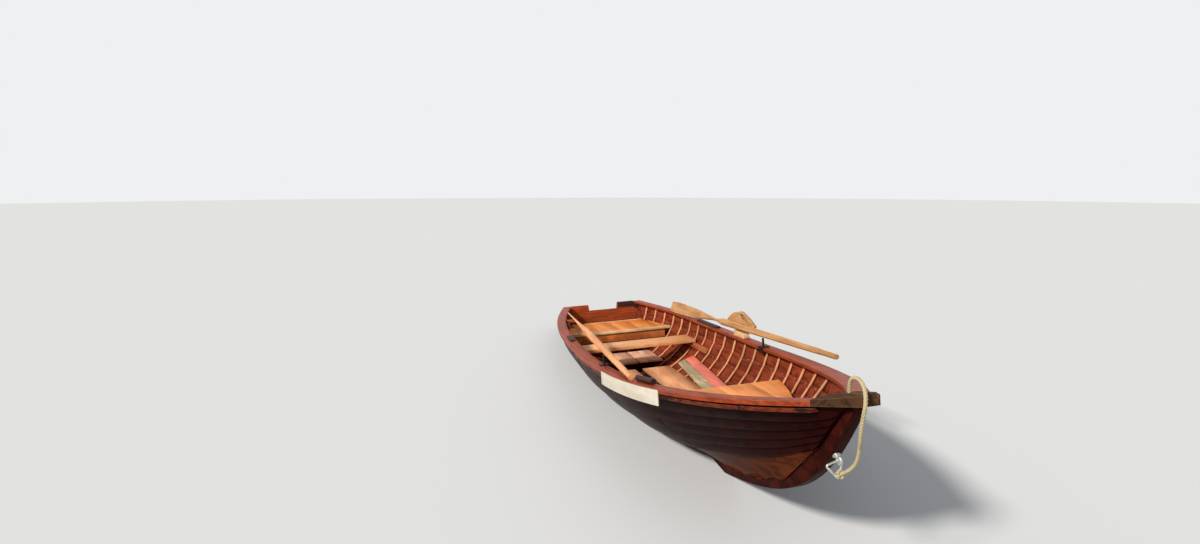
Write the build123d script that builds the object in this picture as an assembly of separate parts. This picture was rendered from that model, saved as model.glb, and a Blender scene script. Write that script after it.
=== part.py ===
# Clinker-built wooden rowing boat, afloat on an even keel, in millimetres.
# It is drawn with +X from the transom to the bow, +Y to port and +Z up, from the foot of the keel
# under the transom. The finished boat's origin is on its waterline, on the centreline near amidships.

from build123d import *
import math
import os

os.makedirs("parts", exist_ok=True)

# Hull lines, one row for each frame: where the frame meets the keel and the sheer along the boat,
# the half breadth and height of the planking at the sheer, the height where the planking meets the keel,
# the rise of the bottom and the flare of the topside in degrees, how far each reaches into the curve,
# and the garboard's share of the frame's girth.
FRAME_COLUMNS = (
    "keel_x", "sheer_x", "half_breadth", "sheer_z", "keel_z",
    "rise", "flare", "bottom_reach", "side_reach", "garboard",
)
FRAME_ROWS = (
    (0.0, 0.0, 379.0, 555.0, 100.0, 15.0, 10.0, 0.62, 0.42, 0.33),
    (800.0, 800.0, 545.0, 516.0, 46.0, 14.0, 6.0, 0.64, 0.42, 0.33),
    (1700.0, 1700.0, 585.0, 494.0, 33.0, 15.0, 6.0, 0.65, 0.42, 0.33),
    (2600.0, 2600.0, 564.0, 497.0, 33.0, 14.5, 13.0, 0.66, 0.37, 0.33),
    (3150.0, 3500.0, 462.0, 545.0, 44.0, 21.0, 15.0, 0.50, 0.36, 0.338),
    (3480.0, 4150.0, 262.0, 619.0, 78.0, 37.0, 22.0, 0.36, 0.42, 0.349),
)

# Planking: six strakes a side, the garboard the widest.
STRAKE_NAMES = ("garboard", "second", "third", "fourth", "fifth", "sheer")
STEM_GARBOARD = 0.568
FAIRING_PARTS = 3
PLANK = 10.0
LAP = 18.0
LAP_GAP = 0.6
BOW_LAP_GAP = 1.6
BOW_GAP_FRAMES = 4
SEAT_GAP = 0.4

# Scarfs, where the lengths of a strake are joined: their places along the boat for each strake, three rib
# spaces or more from those of the next strake. A scarf is cut slanting through the plank, so many times as
# long as the plank is thick, and its edge on the outside faces aft.
SCARF_XS = {
    "garboard": (1307.0, 2875.0),
    "second": (719.0, 2091.0, 3463.0),
    "third": (1307.0, 2875.0),
    "fourth": (2091.0, 3463.0),
    "fifth": (1307.0, 2875.0),
    "sheer": (2091.0, 3463.0),
}
SCARF_SLOPE = 7.0
SCARF_GAP = 0.3
SCARF_REACH = 30.0

# Backbone.
KEEL_WIDTH = 50.0
KEEL_STAND = 13.0
KEEL_END_X = 3350.0
KEEL_HEEL_X = 70.0
STEM_FRONT = ((3350.0, 0.0), (4128.0, 152.0), (4316.0, 267.0), (4610.0, 691.0))
STEM_RABBET = ((3300.0, 50.0), (4120.0, 127.5), (4200.0, 307.5), (4580.0, 691.0))
STEM_INSIDE = ((3350.0, 75.0), (4060.0, 155.0), (4150.0, 345.0), (4524.0, 691.0))
RABBET_START = 0.47

# Rails.
RAIL_WIDTH = 79.0
RAIL_THICK = 20.0
RAIL_END_X = 4488.0
OUTWALE_THICK = 24.0
OUTWALE_DEPTH = 16.0
HEAD_LENGTH = 178.0
HEAD_HALF_FRONT = 33.0
HEAD_HIGH_AFT = 34.0
HEAD_HIGH_FRONT = 46.0
HEAD_CROWN = 10.0
HEAD_SEAT = 1.2
NOTCH_SLANT = 8.0
TRANSOM_RISE = 3.0

# Transom.
TRANSOM_AFT = 8.0
TRANSOM_THICK = 30.0
TRANSOM_CLEAR = 0.8
NOTCH_HALF = 155.0
NOTCH_DEPTH = 62.0
MOTOR_PAD_THICK = 22.0
MOTOR_PAD_HEIGHT = 188.0
MOTOR_PAD_HALF = 133.0
MOTOR_PAD_DROP = 2.0

# Ribs.
RIB_WIDTH = 17.0
RIB_THICK = 10.0
RIB_FIRST_X = 229.0
RIB_PITCH = 196.0
RIB_COUNT = 19
RIB_FOOT_Y = 36.0
RIB_GAP = 0.9

# Stern seat, rowing seat and bow seat: aft edge, forward edge and top, with the seams between boards.
STERN_SEAT = (205.0, 806.0, 403.0)
STERN_SEAMS = (-365.0, -175.0, 15.0, 205.0, 390.0)
ROWING_SEAT = (1215.0, 1470.0, 374.0)
BOW_SEAT = (3120.0, 3620.0, 402.0)
BOW_SEAMS = (-330.0, -130.0, 60.0, 260.0)
SEAT_THICK = 22.0
ROWING_THICK = 28.0
SEAM = 2.5
NARROWEST = 8.0
EDGE_STRIP = 12.0
EDGE_STRIP_RISE = 4.0
APRON_DEPTH = 76.0
APRON_THICK = 18.0
BOW_BEARER_WIDTH = 30.0
BOW_BEARER_DEPTH = 26.0
SIDE_CLEAR = 2.0
RISER_HEIGHT = 34.0
RISER_THICK = 18.0
RISER_CLEAR = 0.8
# How far each riser's after and forward ends lie ahead of its seat's ends.
STERN_RISER_ENDS = (-9.0, -20.0)
ROWING_RISER_ENDS = (-205.0, 320.0)
BOW_RISER_ENDS = (-8.0, -8.0)

# Floorboards and the bearers beneath them.
FLOOR_TOP = 165.0
FLOOR_AFT_TOP = 185.0
FLOOR_THICK = 15.0
FLOOR_REACH = 276.0
BEARER_WIDTH = 34.0
BEARER_INSET = 14.0
BEARER_CLEAR = 0.8
# Each bearer: its place along the boat and the top of the boards on it.
BEARER_ROWS = (
    (915.0, FLOOR_AFT_TOP),
    (1111.0, FLOOR_AFT_TOP),
    (1503.0, FLOOR_TOP),
    (1895.0, FLOOR_TOP),
    (2287.0, FLOOR_TOP),
)
# Each board: its node, aft and forward ends, starboard and port edges, and top.
FLOOR_BOARDS = (
    ("floor_middle", 1430.0, 2440.0, 43.0, FLOOR_REACH, FLOOR_TOP),
    ("floor_middle", 1430.0, 2440.0, -206.0, -19.0, FLOOR_TOP),
    ("floor_aft", 772.0, 1250.0, 65.0, FLOOR_REACH, FLOOR_AFT_TOP),
    ("floor_aft", 772.0, 1250.0, -140.0, 52.0, FLOOR_AFT_TOP),
)

# Loose plank in two colours, lying on the ribs of the port bilge.
LOOSE_AFT = (1600.0, 375.0)
LOOSE_YAW = -6.9
LOOSE_ROLL = 21.0
LOOSE_LENGTH = 1130.0
LOOSE_HALF = 70.0
LOOSE_THICK = 16.0
LOOSE_CLEAR = 0.6
LOOSE_STEPS = 24

# Oars: one section for each place along the oar from the blade's tip, with its width and thickness.
OAR_LENGTH = 2700.0
GRIP_LENGTH = 170.0
LOOM_START = 1180.0
LOOM_SHOULDER = LOOM_START + 55.0
OAR_ROWS = (
    (0.0, 84.0, 7.0),
    (120.0, 102.0, 9.0),
    (330.0, 97.0, 10.0),
    (560.0, 84.0, 13.0),
    (860.0, 46.0, 32.0),
    (LOOM_START, 40.0, 38.0),
)
LOOM_ROWS = (
    (LOOM_START, 40.0, 38.0),
    (LOOM_SHOULDER, 52.0, 50.0),
    (OAR_LENGTH - GRIP_LENGTH, 34.0, 32.0),
)
GRIP_RADIUS = 15.0
WING_BACK = 55.0
WING_LENGTH = 440.0
WING_HEIGHT = 88.0
WING_THICK = 22.0
WING_PEAK = 190.0
WING_CLEAR = 0.3
# The wing's outline: how far its corners stand in from the ends, and down from the peak.
WING_HEEL = (60.0, 26.0, 16.0)
WING_TOE = (120.0, 34.0, 14.0)
HOLE_SHARE = 0.62
PIN_HOLE = 9.0
OAR_CLEAR = 0.5
OAR_STEP = 30.0
# Each oar: its side, the place of its blade's tip, its heading and its roll in degrees.
OAR_PLACES = (
    ("port", 770.0, 535.0, 1.52, -22.0),
    ("starboard", 640.0, -424.0, -1.45, -135.0),
)

# Rail fittings: the block and the dark pad under the port oar, the bracket under the starboard blade,
# the bar that the starboard grip lies against, and the rowlock pins in their irons.
BLOCK_X = (2200.0, 2400.0)
BLOCK_WIDTH = 46.0
# Each pad: its side, aft and forward ends, and thickness.
RAIL_PADS = (
    ("port", 1420.0, 1850.0, 14.0),
    ("starboard", 1560.0, 1760.0, 12.0),
)
RAIL_PAD_WIDTH = 44.0
BRACKET_X = (680.0, 706.0)
BRACKET_THICK = 12.0
GRIP_BAR_X = (3365.0, 3545.0)
GRIP_BAR_RADIUS = 15.0
IRON_X = 2760.0
IRON_LENGTH = 60.0
IRON_THICK = 5.0
IRON_DROP = 34.0
PIN_RADIUS = 7.0
PIN_HEIGHT = 52.0
PIN_INSET = 14.0

# Blank name board on the outside of the starboard rail.
BOARD_AFT_X = 2940.0
BOARD_END_X = 3700.0
BOARD_HEIGHT = 76.0
BOARD_THICK = 5.0

# Bow eye, standing square to the stem's front, and the bent link that hangs in it: the link's corners
# are given across the boat and up from the eye's middle.
EYE_T = 0.80
EYE_RADIUS = 13.0
EYE_ROD = 4.5
EYE_PLATE_RADIUS = 15.0
EYE_PLATE_THICK = 4.0
EYE_STAND = 22.0
LINK_ROD = 4.0
LINK_FILLET = 7.0
LINK_CORNERS = ((13.0, 5.0), (-54.0, -13.0), (-3.0, -72.0))

# Mooring rope: from the stem head it loops up and over, hangs before the stem and ends in a knot
# on the link's lowest corner.
ROPE_RADIUS = 7.0
ROPE_START_X = 4538.0
ROPE_START_CLEAR = 3.2
KNOT_RADIUS = 17.0
KNOT_CLEAR = 0.3
KNOT_PLACE = (2.0, -2.0, -51.0)
ROPE_POINTS = (
    (4545.0, 0.0, 762.0), (4576.0, -3.0, 787.0), (4626.0, -10.0, 790.0), (4670.0, -22.0, 768.0),
    (4694.0, -38.0, 726.0), (4692.0, -50.0, 682.0), (4676.0, -48.0, 636.0), (4652.0, -38.0, 588.0),
    (4624.0, -25.0, 543.0), (4592.0, -14.0, 500.0), (4552.0, -6.0, 464.0), (4508.0, -3.0, 432.0),
)

# The origin on the waterline.
ORIGIN_X = 2030.0
WATERLINE = 130.0

# Farther out and higher up than any part of the boat.
BEYOND = 900.0
ABOVE = 1500.0


def row_values(columns, row):
    return dict(zip(columns, row))


def unit(a, b):
    size = math.hypot(a, b)
    return (a / size, b / size)


def bezier(points, t):
    while len(points) > 1:
        points = [tuple(p + (q - p) * t for p, q in zip(a, b)) for a, b in zip(points, points[1:])]
    return points[0]


def girth_points(curve, shares, steps=200):
    """Points of a curve, given as a function of 0 to 1, at shares of its length."""
    samples = [curve(i / steps) for i in range(steps + 1)]
    lengths = [0.0]
    for a, b in zip(samples, samples[1:]):
        lengths.append(lengths[-1] + math.dist(a, b))
    found = []
    for share in shares:
        goal = share * lengths[-1]
        i = max(1, next((n for n, v in enumerate(lengths) if v >= goal - 1e-9), steps))
        part = (goal - lengths[i - 1]) / (lengths[i] - lengths[i - 1])
        a, b = samples[i - 1], samples[i]
        found.append(tuple(p + (q - p) * part for p, q in zip(a, b)))
    return found


HALF_KEEL = KEEL_WIDTH / 2
TOUCH_Y = HALF_KEEL + SEAT_GAP
STRAKES = len(STRAKE_NAMES)


def girth_shares(garboard):
    """Where the strakes' edges lie along a girth: the garboard's share first, the rest even."""
    return [0.0] + [garboard + (1 - garboard) * k / (STRAKES - 1) for k in range(STRAKES)]


def frame_points(row):
    """Inner corners of the planking on one frame, from the keel to the sheer."""
    f = row_values(FRAME_COLUMNS, row)
    rise = math.radians(f["rise"])
    flare = math.radians(f["flare"])
    depth = f["sheer_z"] - f["keel_z"]
    width = f["half_breadth"] - TOUCH_Y
    p0 = (TOUCH_Y, f["keel_z"])
    run = f["bottom_reach"] * width
    p1 = (p0[0] + run * math.cos(rise), p0[1] + run * math.sin(rise))
    p3 = (f["half_breadth"], f["sheer_z"])
    reach = f["side_reach"] * depth
    p2 = (p3[0] - reach * math.sin(flare), p3[1] - reach * math.cos(flare))

    def curve(t):
        y, z = bezier((p0, p1, p2, p3), t)
        x = f["keel_x"] + (f["sheer_x"] - f["keel_x"]) * (z - p0[1]) / depth
        return (x, y, z)

    return [Vector(*p) for p in girth_points(curve, girth_shares(f["garboard"]))]


def rabbet_points():
    """Forward ends of the strakes, along the stem's rabbet."""

    def curve(t):
        x, z = bezier(STEM_RABBET, RABBET_START + (1 - RABBET_START) * t)
        return (x, TOUCH_Y, z)

    return [Vector(*p) for p in girth_points(curve, girth_shares(STEM_GARBOARD))]


def faired(points, parts):
    """More points on a smooth line through the given ones, each stretch cut into equal parts."""
    spans = [(b - a).length for a, b in zip(points, points[1:])]
    chords = [(b - a) / h for a, b, h in zip(points, points[1:], spans)]
    pairs = zip(chords, chords[1:], spans, spans[1:])
    slopes = [(before * far + after * near) / (near + far) for before, after, near, far in pairs]
    slopes = [chords[0] * 2 - slopes[0]] + slopes + [chords[-1] * 2 - slopes[-1]]
    line = []
    for i, h in enumerate(spans):
        for n in range(parts):
            t = n / parts
            start = points[i] * (2 * t ** 3 - 3 * t ** 2 + 1) + slopes[i] * (h * (t ** 3 - 2 * t ** 2 + t))
            end = points[i + 1] * (3 * t ** 2 - 2 * t ** 3) + slopes[i + 1] * (h * (t ** 3 - t ** 2))
            line.append(start + end)
    return line + [points[-1]]


main_frames = [frame_points(row) for row in FRAME_ROWS] + [rabbet_points()]
lap_lines = [faired([frame[k] for frame in main_frames], FAIRING_PARTS) for k in range(STRAKES + 1)]
CORNERS = [list(points) for points in zip(*lap_lines)]
LAST = len(CORNERS) - 1


def lengthwise(j, k):
    a = CORNERS[max(j - 1, 0)][k]
    b = CORNERS[min(j + 1, LAST)][k]
    return (b - a).normalized()


def outward(up, along, at_stem):
    if at_stem:
        side = Vector(0, 1, 0)
        return (side - up * side.dot(up)).normalized()
    return up.cross(along).normalized()


def lap_gap(j):
    """Room in the laps on frame j, wider on the last frames, where the planks twist into the stem."""
    near = max(0.0, 1 - (LAST - j) / BOW_GAP_FRAMES)
    return LAP_GAP + (BOW_LAP_GAP - LAP_GAP) * near


def frame_sections(j):
    """Section of each strake on frame j: a bevelled land at the top lets the next strake lap over it."""
    at_stem = j == LAST
    gap = lap_gap(j)
    corners = CORNERS[j]
    sections = []
    low = corners[0]
    for k in range(1, STRAKES + 1):
        top = corners[k]
        up = (top - low).normalized()
        out = outward(up, lengthwise(j, k), at_stem)
        land = top - up * LAP
        if k == STRAKES:
            points = [low, top, top + out * PLANK, low + out * PLANK]
        else:
            next_low = land + out * (PLANK + gap)
            next_up = (corners[k + 1] - next_low).normalized()
            over = PLANK + gap + LAP / next_up.dot(up) * next_up.dot(out)
            points = [low, top, top + out * (over - gap), land + out * PLANK, low + out * PLANK]
            low = next_low
        sections.append(points)
    return sections


SECTIONS = [frame_sections(j) for j in range(LAST + 1)]


def closed_wire(points):
    return Wire.make_polygon([Vector(*p) for p in points], close=True)


def skin(point_lists, ruled=False):
    return Solid.make_loft([closed_wire(points) for points in point_lists], ruled)


def mirrored(shape):
    return shape.mirror(Plane.XZ)


def mirrored_points(points):
    return [(x, -y, z) for x, y, z in points]


nodes = {}


def keep(name, *solids):
    nodes.setdefault(name, []).extend(solids)


# Strakes. Each is shaped in one sweep from the stern to the stem, and its long edges are read back, so that
# what meets the planking follows it exactly. Then it is cut at its scarfs.
EDGE_SAMPLES = 90
GARBOARD_LINES = 6
strake_edges = []
garboard_lines = []


def long_edge(solid, start):
    """Points along the edge of a strake that begins at one corner of its after end."""
    edges = [e for e in solid.edges() if e.length > 1000]
    edge = min(edges, key=lambda e: min((e @ 0 - start).length, (e @ 1 - start).length))
    return sorted((edge @ (i / EDGE_SAMPLES) for i in range(EDGE_SAMPLES + 1)), key=lambda p: p.X)


def on_line(samples, x):
    """Breadth and height of a long edge at a place along the boat."""
    if x <= samples[0].X:
        return (samples[0].Y, samples[0].Z)
    for a, b in zip(samples, samples[1:]):
        if x <= b.X:
            part = (x - a.X) / (b.X - a.X)
            return (a.Y + (b.Y - a.Y) * part, a.Z + (b.Z - a.Z) * part)
    return (samples[-1].Y, samples[-1].Z)


def scarf_face(corners, x, shift):
    """The slanting cut through a plank at x, moved along the plank by a distance."""
    lines = [Vector(x, *on_line(line, x)) for line in corners]
    ahead = [Vector(x + 10.0, *on_line(line, x + 10.0)) for line in corners]
    low, top = lines
    along = (ahead[0] - low + ahead[1] - top).normalized()
    up = top - low
    out = up.cross(along).normalized()
    normal = out * SCARF_SLOPE + along
    middle = (low + top) / 2 + out * (PLANK / 2) + along * shift
    size = 2 * SCARF_REACH * SCARF_SLOPE
    return Face.make_rect(up.length * 2, size, Plane(middle, x_dir=up, z_dir=normal))


def lengths_of(strake, corners, places):
    """The lengths of a strake between its scarfs, from the stern forward."""
    kept = []
    rest = strake
    for x in places:
        gap = SCARF_GAP * math.hypot(1.0, SCARF_SLOPE)
        parts = rest.split(scarf_face(corners, x, -gap / 2), keep=Keep.ALL)
        parts.sort(key=lambda s: s.center().X)
        kept.append(parts[0])
        parts = parts[-1].split(scarf_face(corners, x, gap / 2), keep=Keep.ALL)
        rest = max(parts, key=lambda s: s.center().X)
    return kept + [rest]


for k, name in enumerate(STRAKE_NAMES):
    stack = [SECTIONS[j][k] for j in range(LAST + 1)]
    strake = skin([[(p.X, p.Y, p.Z) for p in points] for points in stack])
    lines = [long_edge(strake, start) for start in stack[0]]
    strake_edges.append(lines)
    lengths = lengths_of(strake, lines[:2], SCARF_XS[name])
    keep(f"strake_{name}_port", *lengths)
    keep(f"strake_{name}_starboard", *[mirrored(part) for part in lengths])
    if k == 0:
        middle = (stack[0][0] + stack[0][1]) / 2
        face = min(strake.faces().filter_by(lambda f: f.area > 100000), key=lambda f: f.distance_to(middle))
        flip = (face.position_at(0, 0) - face.position_at(1, 0)).length < 1000
        for n in range(GARBOARD_LINES + 1):
            part = n / GARBOARD_LINES
            places = [i / EDGE_SAMPLES for i in range(EDGE_SAMPLES + 1)]
            line = [face.position_at(part, t) if flip else face.position_at(t, part) for t in places]
            garboard_lines.append(sorted(line, key=lambda p: p.X))
        garboard_lines.sort(key=lambda line: line[0].Y)


def inner_corners(x):
    """Inner side of the planking across the boat at x, from the keel to the sheer."""
    bottom = [on_line(line, x) for line in garboard_lines]
    return bottom + [on_line(lines[1], x) for lines in strake_edges[1:]]


def shifted(points, distance):
    """A line across the boat moved inboard, or outboard where the distance is negative."""
    moved = []
    for i, (y, z) in enumerate(points):
        before = points[max(i - 1, 0)]
        after = points[min(i + 1, len(points) - 1)]
        dy, dz = after[0] - before[0], after[1] - before[1]
        size = math.hypot(dy, dz)
        moved.append((y - dz / size * distance, z + dy / size * distance))
    return moved


def rib_face(x):
    """Inner side of the ribs across the boat at x."""
    return shifted(inner_corners(x), RIB_GAP + RIB_THICK)


def breadth_at(points, z):
    """Breadth of a line across the boat at one height."""
    for (y0, z0), (y1, z1) in zip(points, points[1:]):
        if z0 <= z <= z1:
            return y0 + (y1 - y0) * (z - z0) / (z1 - z0)
    return points[-1][0] if z > points[-1][1] else points[0][0]


def height_at(points, y):
    """Height of a line across the boat at one breadth."""
    for (y0, z0), (y1, z1) in zip(points, points[1:]):
        if y0 <= y <= y1:
            return z0 + (z1 - z0) * (y - y0) / (y1 - y0)
    return points[-1][1]


def cut_at(points, z):
    """The part of a line across the boat that lies below one height."""
    kept = [p for p in points if p[1] < z - 0.5]
    return kept + [(breadth_at(points, z), z)]


def room(x, z):
    """Clear half breadth inside the ribs at x and z."""
    return breadth_at(rib_face(x), z) - SIDE_CLEAR


def box_between(x0, x1, y0, y1, z0, z1):
    return Pos((x0 + x1) / 2, (y0 + y1) / 2, (z0 + z1) / 2) * Box(x1 - x0, y1 - y0, z1 - z0)


def only(shape):
    return shape.solids()[0]


def upright(outline, y0, y1):
    """A plate cut to an outline in the boat's long vertical plane, from y0 to y1."""
    face = Face(closed_wire([(x, y0, z) for x, z in outline]))
    return Solid.extrude(face, Vector(0, y1 - y0, 0))


def level_plate(outline, z0, z1):
    face = Face(closed_wire([(x, y, z0) for x, y in outline]))
    return Solid.extrude(face, Vector(0, 0, z1 - z0))


# Keel with its heel under the transom, and the stem.
def keel_top(x):
    return on_line(strake_edges[0][0], x)[1] + KEEL_STAND


keel_outline = [(0.0, keel_top(0)), (0.0, 40.0), (KEEL_HEEL_X, 0.0), (KEEL_END_X, 0.0), STEM_INSIDE[0]]
keel_outline += [(x, keel_top(x)) for x in range(3200, 0, -200)]
keep("keel", upright(keel_outline, -HALF_KEEL, HALF_KEEL))


def stem_solid():
    front = Bezier(*[(x, -HALF_KEEL, z) for x, z in STEM_FRONT])
    inside = Bezier(*[(x, -HALF_KEEL, z) for x, z in STEM_INSIDE])
    foot = Line(inside @ 0, front @ 0)
    head = Line(front @ 1, inside @ 1)
    face = Face(Wire([foot, front, head, inside]))
    return Solid.extrude(face, Vector(0, KEEL_WIDTH, 0))


stem = stem_solid()
stem = stem.moved(Location((SEAT_GAP, 0, 0)))


# Rails. The cap lies on the planking and the rib heads, and the outwale is under its outer edge.
def sheer_top(x):
    return on_line(strake_edges[-1][1], x)


def rail_outer(x):
    return on_line(strake_edges[-1][2], x)[0] + OUTWALE_THICK + SEAT_GAP


def rail_slant(x):
    step = 40.0
    a = rail_outer(min(max(x - step, 0.0), RAIL_END_X))
    b = rail_outer(min(x + step, RAIL_END_X))
    run = min(x + step, RAIL_END_X) - min(max(x - step, 0.0), RAIL_END_X)
    return math.hypot(1.0, (b - a) / run)


RAIL_AFT_X = -6.0
RAIL_XS = (
    RAIL_AFT_X, 400.0, 800.0, 1250.0, 1700.0, 2150.0, 2600.0,
    3050.0, 3500.0, 3830.0, 4150.0, 4330.0, RAIL_END_X,
)


def cap_section(x):
    outer = rail_outer(max(x, 0.0))
    inner = max(outer - RAIL_WIDTH * rail_slant(x), 2.0)
    z = sheer_top(max(x, 0.0))[1] + 2 * SEAT_GAP
    return [(x, inner, z), (x, outer, z), (x, outer, z + RAIL_THICK), (x, inner, z + RAIL_THICK)]


def outwale_section(x):
    """The inner side lies along the sheer strake, and the outer side is upright."""
    at = max(x, 0.0)
    y_top, z_top = on_line(strake_edges[-1][2], at)
    y_low, z_low = on_line(strake_edges[-1][3], at)
    lean = (y_top - y_low) / (z_top - z_low)
    outer = rail_outer(at) - 3.0
    low = z_top - OUTWALE_DEPTH
    inner = y_top + 2.5 * SEAT_GAP * rail_slant(x)
    return [(x, inner, z_top), (x, inner - lean * OUTWALE_DEPTH, low), (x, outer, low), (x, outer, z_top)]


cap = skin([cap_section(x) for x in RAIL_XS])
keep("rail_cap_port", cap)
keep("rail_cap_starboard", mirrored(cap))
outwale = skin([outwale_section(x) for x in RAIL_XS])
keep("outwale_port", outwale)
keep("outwale_starboard", mirrored(outwale))


def head_section(x, half, low, high):
    shoulder = high - HEAD_CROWN
    flat = half * 0.55
    side = [(half, low), (half, shoulder), (flat, high)]
    return [(x, y, z) for y, z in side] + [(x, -y, z) for y, z in reversed(side)]


def head_low(x):
    """Underside of the stem head: a straight line over the ends of the sheer strakes."""
    x0, x1 = RAIL_END_X, STEM_RABBET[-1][0]
    z0, z1 = sheer_top(x0)[1], sheer_top(x1)[1]
    return z0 + (z1 - z0) * (x - x0) / (x1 - x0) + HEAD_SEAT


def stem_head():
    aft_x = RAIL_END_X + SEAT_GAP
    aft_low = head_low(aft_x)
    front_x = RAIL_END_X + HEAD_LENGTH
    front_low = head_low(front_x)
    aft = head_section(aft_x, rail_outer(RAIL_END_X), aft_low, aft_low + HEAD_HIGH_AFT)
    front = head_section(front_x, HEAD_HALF_FRONT, front_low, front_low + HEAD_HIGH_FRONT)
    return skin([aft, front], True)


keep("stem_head", stem_head())
above_xs = (RAIL_END_X - 60.0, STEM_FRONT[-1][0] + 60.0)
above = [(x, head_low(x) - SEAT_GAP) for x in above_xs]
above += [(x, ABOVE) for x in reversed(above_xs)]
keep("stem", only(stem - upright(above, -KEEL_WIDTH, KEEL_WIDTH)))


# Transom: its edge is stepped to the laps, with a notch for a motor's clamp.
def transom_edge(x):
    """Inner faces of the strakes across the boat at x, stood off by the transom's clearance."""
    edge = []
    rise = (0.0, 0.0)
    for k in range(STRAKES):
        lows = [on_line(line, x) for line in garboard_lines[:-1]]
        if k > 0:
            lows = [on_line(strake_edges[k - 1][2], x)]
        top = on_line(strake_edges[k][1], x)
        dy, dz = unit(top[0] - lows[0][0], top[1] - lows[0][1])
        inward = (-dz * TRANSOM_CLEAR, dy * TRANSOM_CLEAR)
        edge += [(y + inward[0] + rise[0], z + inward[1] + rise[1]) for y, z in lows]
        rise = (dy * TRANSOM_CLEAR, dz * TRANSOM_CLEAR)
        edge.append((top[0] + inward[0] + rise[0], top[1] + inward[1] + rise[1]))
    return edge


def transom_section(x):
    shoulder = sheer_top(x)[1] - SEAT_GAP
    line = [p for p in transom_edge(x) if p[1] < shoulder - 6.0]
    side = line + [(line[-1][0] + 1.0, shoulder)]
    inner_rail = cap_section(x)[0][1] - 3.0
    notch_side = [(NOTCH_HALF, transom_top), (NOTCH_HALF - NOTCH_SLANT, notch_z)]
    side += [(inner_rail, shoulder), (inner_rail, transom_top)] + notch_side
    half = [(x, y, z) for y, z in side]
    return half + mirrored_points(reversed(half))


transom_top = sheer_top(0.0)[1] + RAIL_THICK + TRANSOM_RISE
notch_z = transom_top - NOTCH_DEPTH
transom_front_x = TRANSOM_AFT + TRANSOM_THICK
transom = skin([transom_section(TRANSOM_AFT), transom_section(transom_front_x)], True)
slot_half = HALF_KEEL + SEAT_GAP
slot_top = keel_top(0) + SEAT_GAP
keel_slot = box_between(-5.0, transom_front_x + 5.0, -slot_half, slot_half, 0.0, slot_top)
keep("transom", only(transom - keel_slot))
pad_x = TRANSOM_AFT - SEAT_GAP
pad_z = notch_z - MOTOR_PAD_DROP
pad_back = pad_x - MOTOR_PAD_THICK
pad_low = pad_z - MOTOR_PAD_HEIGHT
keep("motor_pad", only(box_between(pad_back, pad_x, -MOTOR_PAD_HALF, MOTOR_PAD_HALF, pad_low, pad_z)))


# Ribs: bent strips that touch the inner corners of the strakes.
def rib_section(x):
    line = shifted(inner_corners(x), RIB_GAP)
    top = sheer_top(x)[1] - 0.5
    if line[-1][1] > top:
        line = cut_at(line, top)
    line = [(RIB_FOOT_Y, height_at(line, RIB_FOOT_Y))] + [p for p in line if p[0] > RIB_FOOT_Y + 5.0]
    inside = shifted(line, RIB_THICK)
    inside[-1] = (inside[-1][0], min(inside[-1][1], line[-1][1]))
    return [(x, y, z) for y, z in line] + [(x, y, z) for y, z in reversed(inside)]


rib_xs = [RIB_FIRST_X + RIB_PITCH * n for n in range(RIB_COUNT)]
for x in rib_xs:
    rib = skin([rib_section(x - RIB_WIDTH / 2), rib_section(x + RIB_WIDTH / 2)], True)
    keep("ribs_port", rib)
    keep("ribs_starboard", mirrored(rib))


# Seats. Boards run fore and aft and are cut to the sides.
def side_line(x0, x1, z, extra=0.0):
    steps = 4
    places = [x0 + (x1 - x0) * i / steps for i in range(steps + 1)]
    return [(x, room(x, z) - extra) for x in places]


def seat_boards(name, x0, x1, top, seams, thick):
    limits = [-9999.0] + list(seams) + [9999.0]
    half = [room(x, top - thick) for x in (x0, x1)]
    for low, high in zip(limits, limits[1:]):
        lo = low + SEAM / 2
        hi = high - SEAM / 2
        if lo > max(half) - 25.0 or hi < -max(half) + 25.0:
            continue
        sides = side_line(x0, x1, top - thick)
        rows = [(x, max(lo, -y), min(hi, y)) for x, y in sides]
        rows = [row for row in rows if row[2] - row[1] >= NARROWEST]
        if len(rows) > 1:
            right = [(x, y) for x, y, _ in rows]
            left = [(x, y) for x, _, y in rows]
            keep(name, level_plate(right + left[::-1], top - thick, top))


def cross_strip(name, x0, x1, low, high, extra=0.0):
    half = min(room(x, low) for x in (x0, x1)) - extra
    keep(name, only(box_between(x0, x1, -half, half, low, high)))


aft, front, top = STERN_SEAT
seat_boards("stern_seat_boards", aft, front, top, STERN_SEAMS, SEAT_THICK)
strip_top = top + EDGE_STRIP_RISE
cross_strip("stern_seat_edges", aft - EDGE_STRIP - SEAT_GAP, aft - SEAT_GAP, top - SEAT_THICK, strip_top)
cross_strip("stern_seat_edges", front + SEAT_GAP, front + SEAT_GAP + EDGE_STRIP, top - SEAT_THICK, strip_top)
under = top - SEAT_THICK - SEAT_GAP
cross_strip("stern_seat_apron", front - APRON_THICK, front, under - APRON_DEPTH, under)
aft, front, top = ROWING_SEAT
rowing_sides = side_line(aft, front, top - ROWING_THICK)
rowing_plan = rowing_sides + [(x, -y) for x, y in reversed(rowing_sides)]
keep("rowing_seat", level_plate(rowing_plan, top - ROWING_THICK, top))
aft, front, top = BOW_SEAT
seat_boards("bow_seat_boards", aft, front, top, BOW_SEAMS, SEAT_THICK)
bearer_top = top - SEAT_THICK - SEAT_GAP
bearer_low = bearer_top - BOW_BEARER_DEPTH
for x in (aft + 24.0, front - 60.0):
    cross_strip("bow_seat_bearers", x, x + BOW_BEARER_WIDTH, bearer_low, bearer_top)


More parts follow.
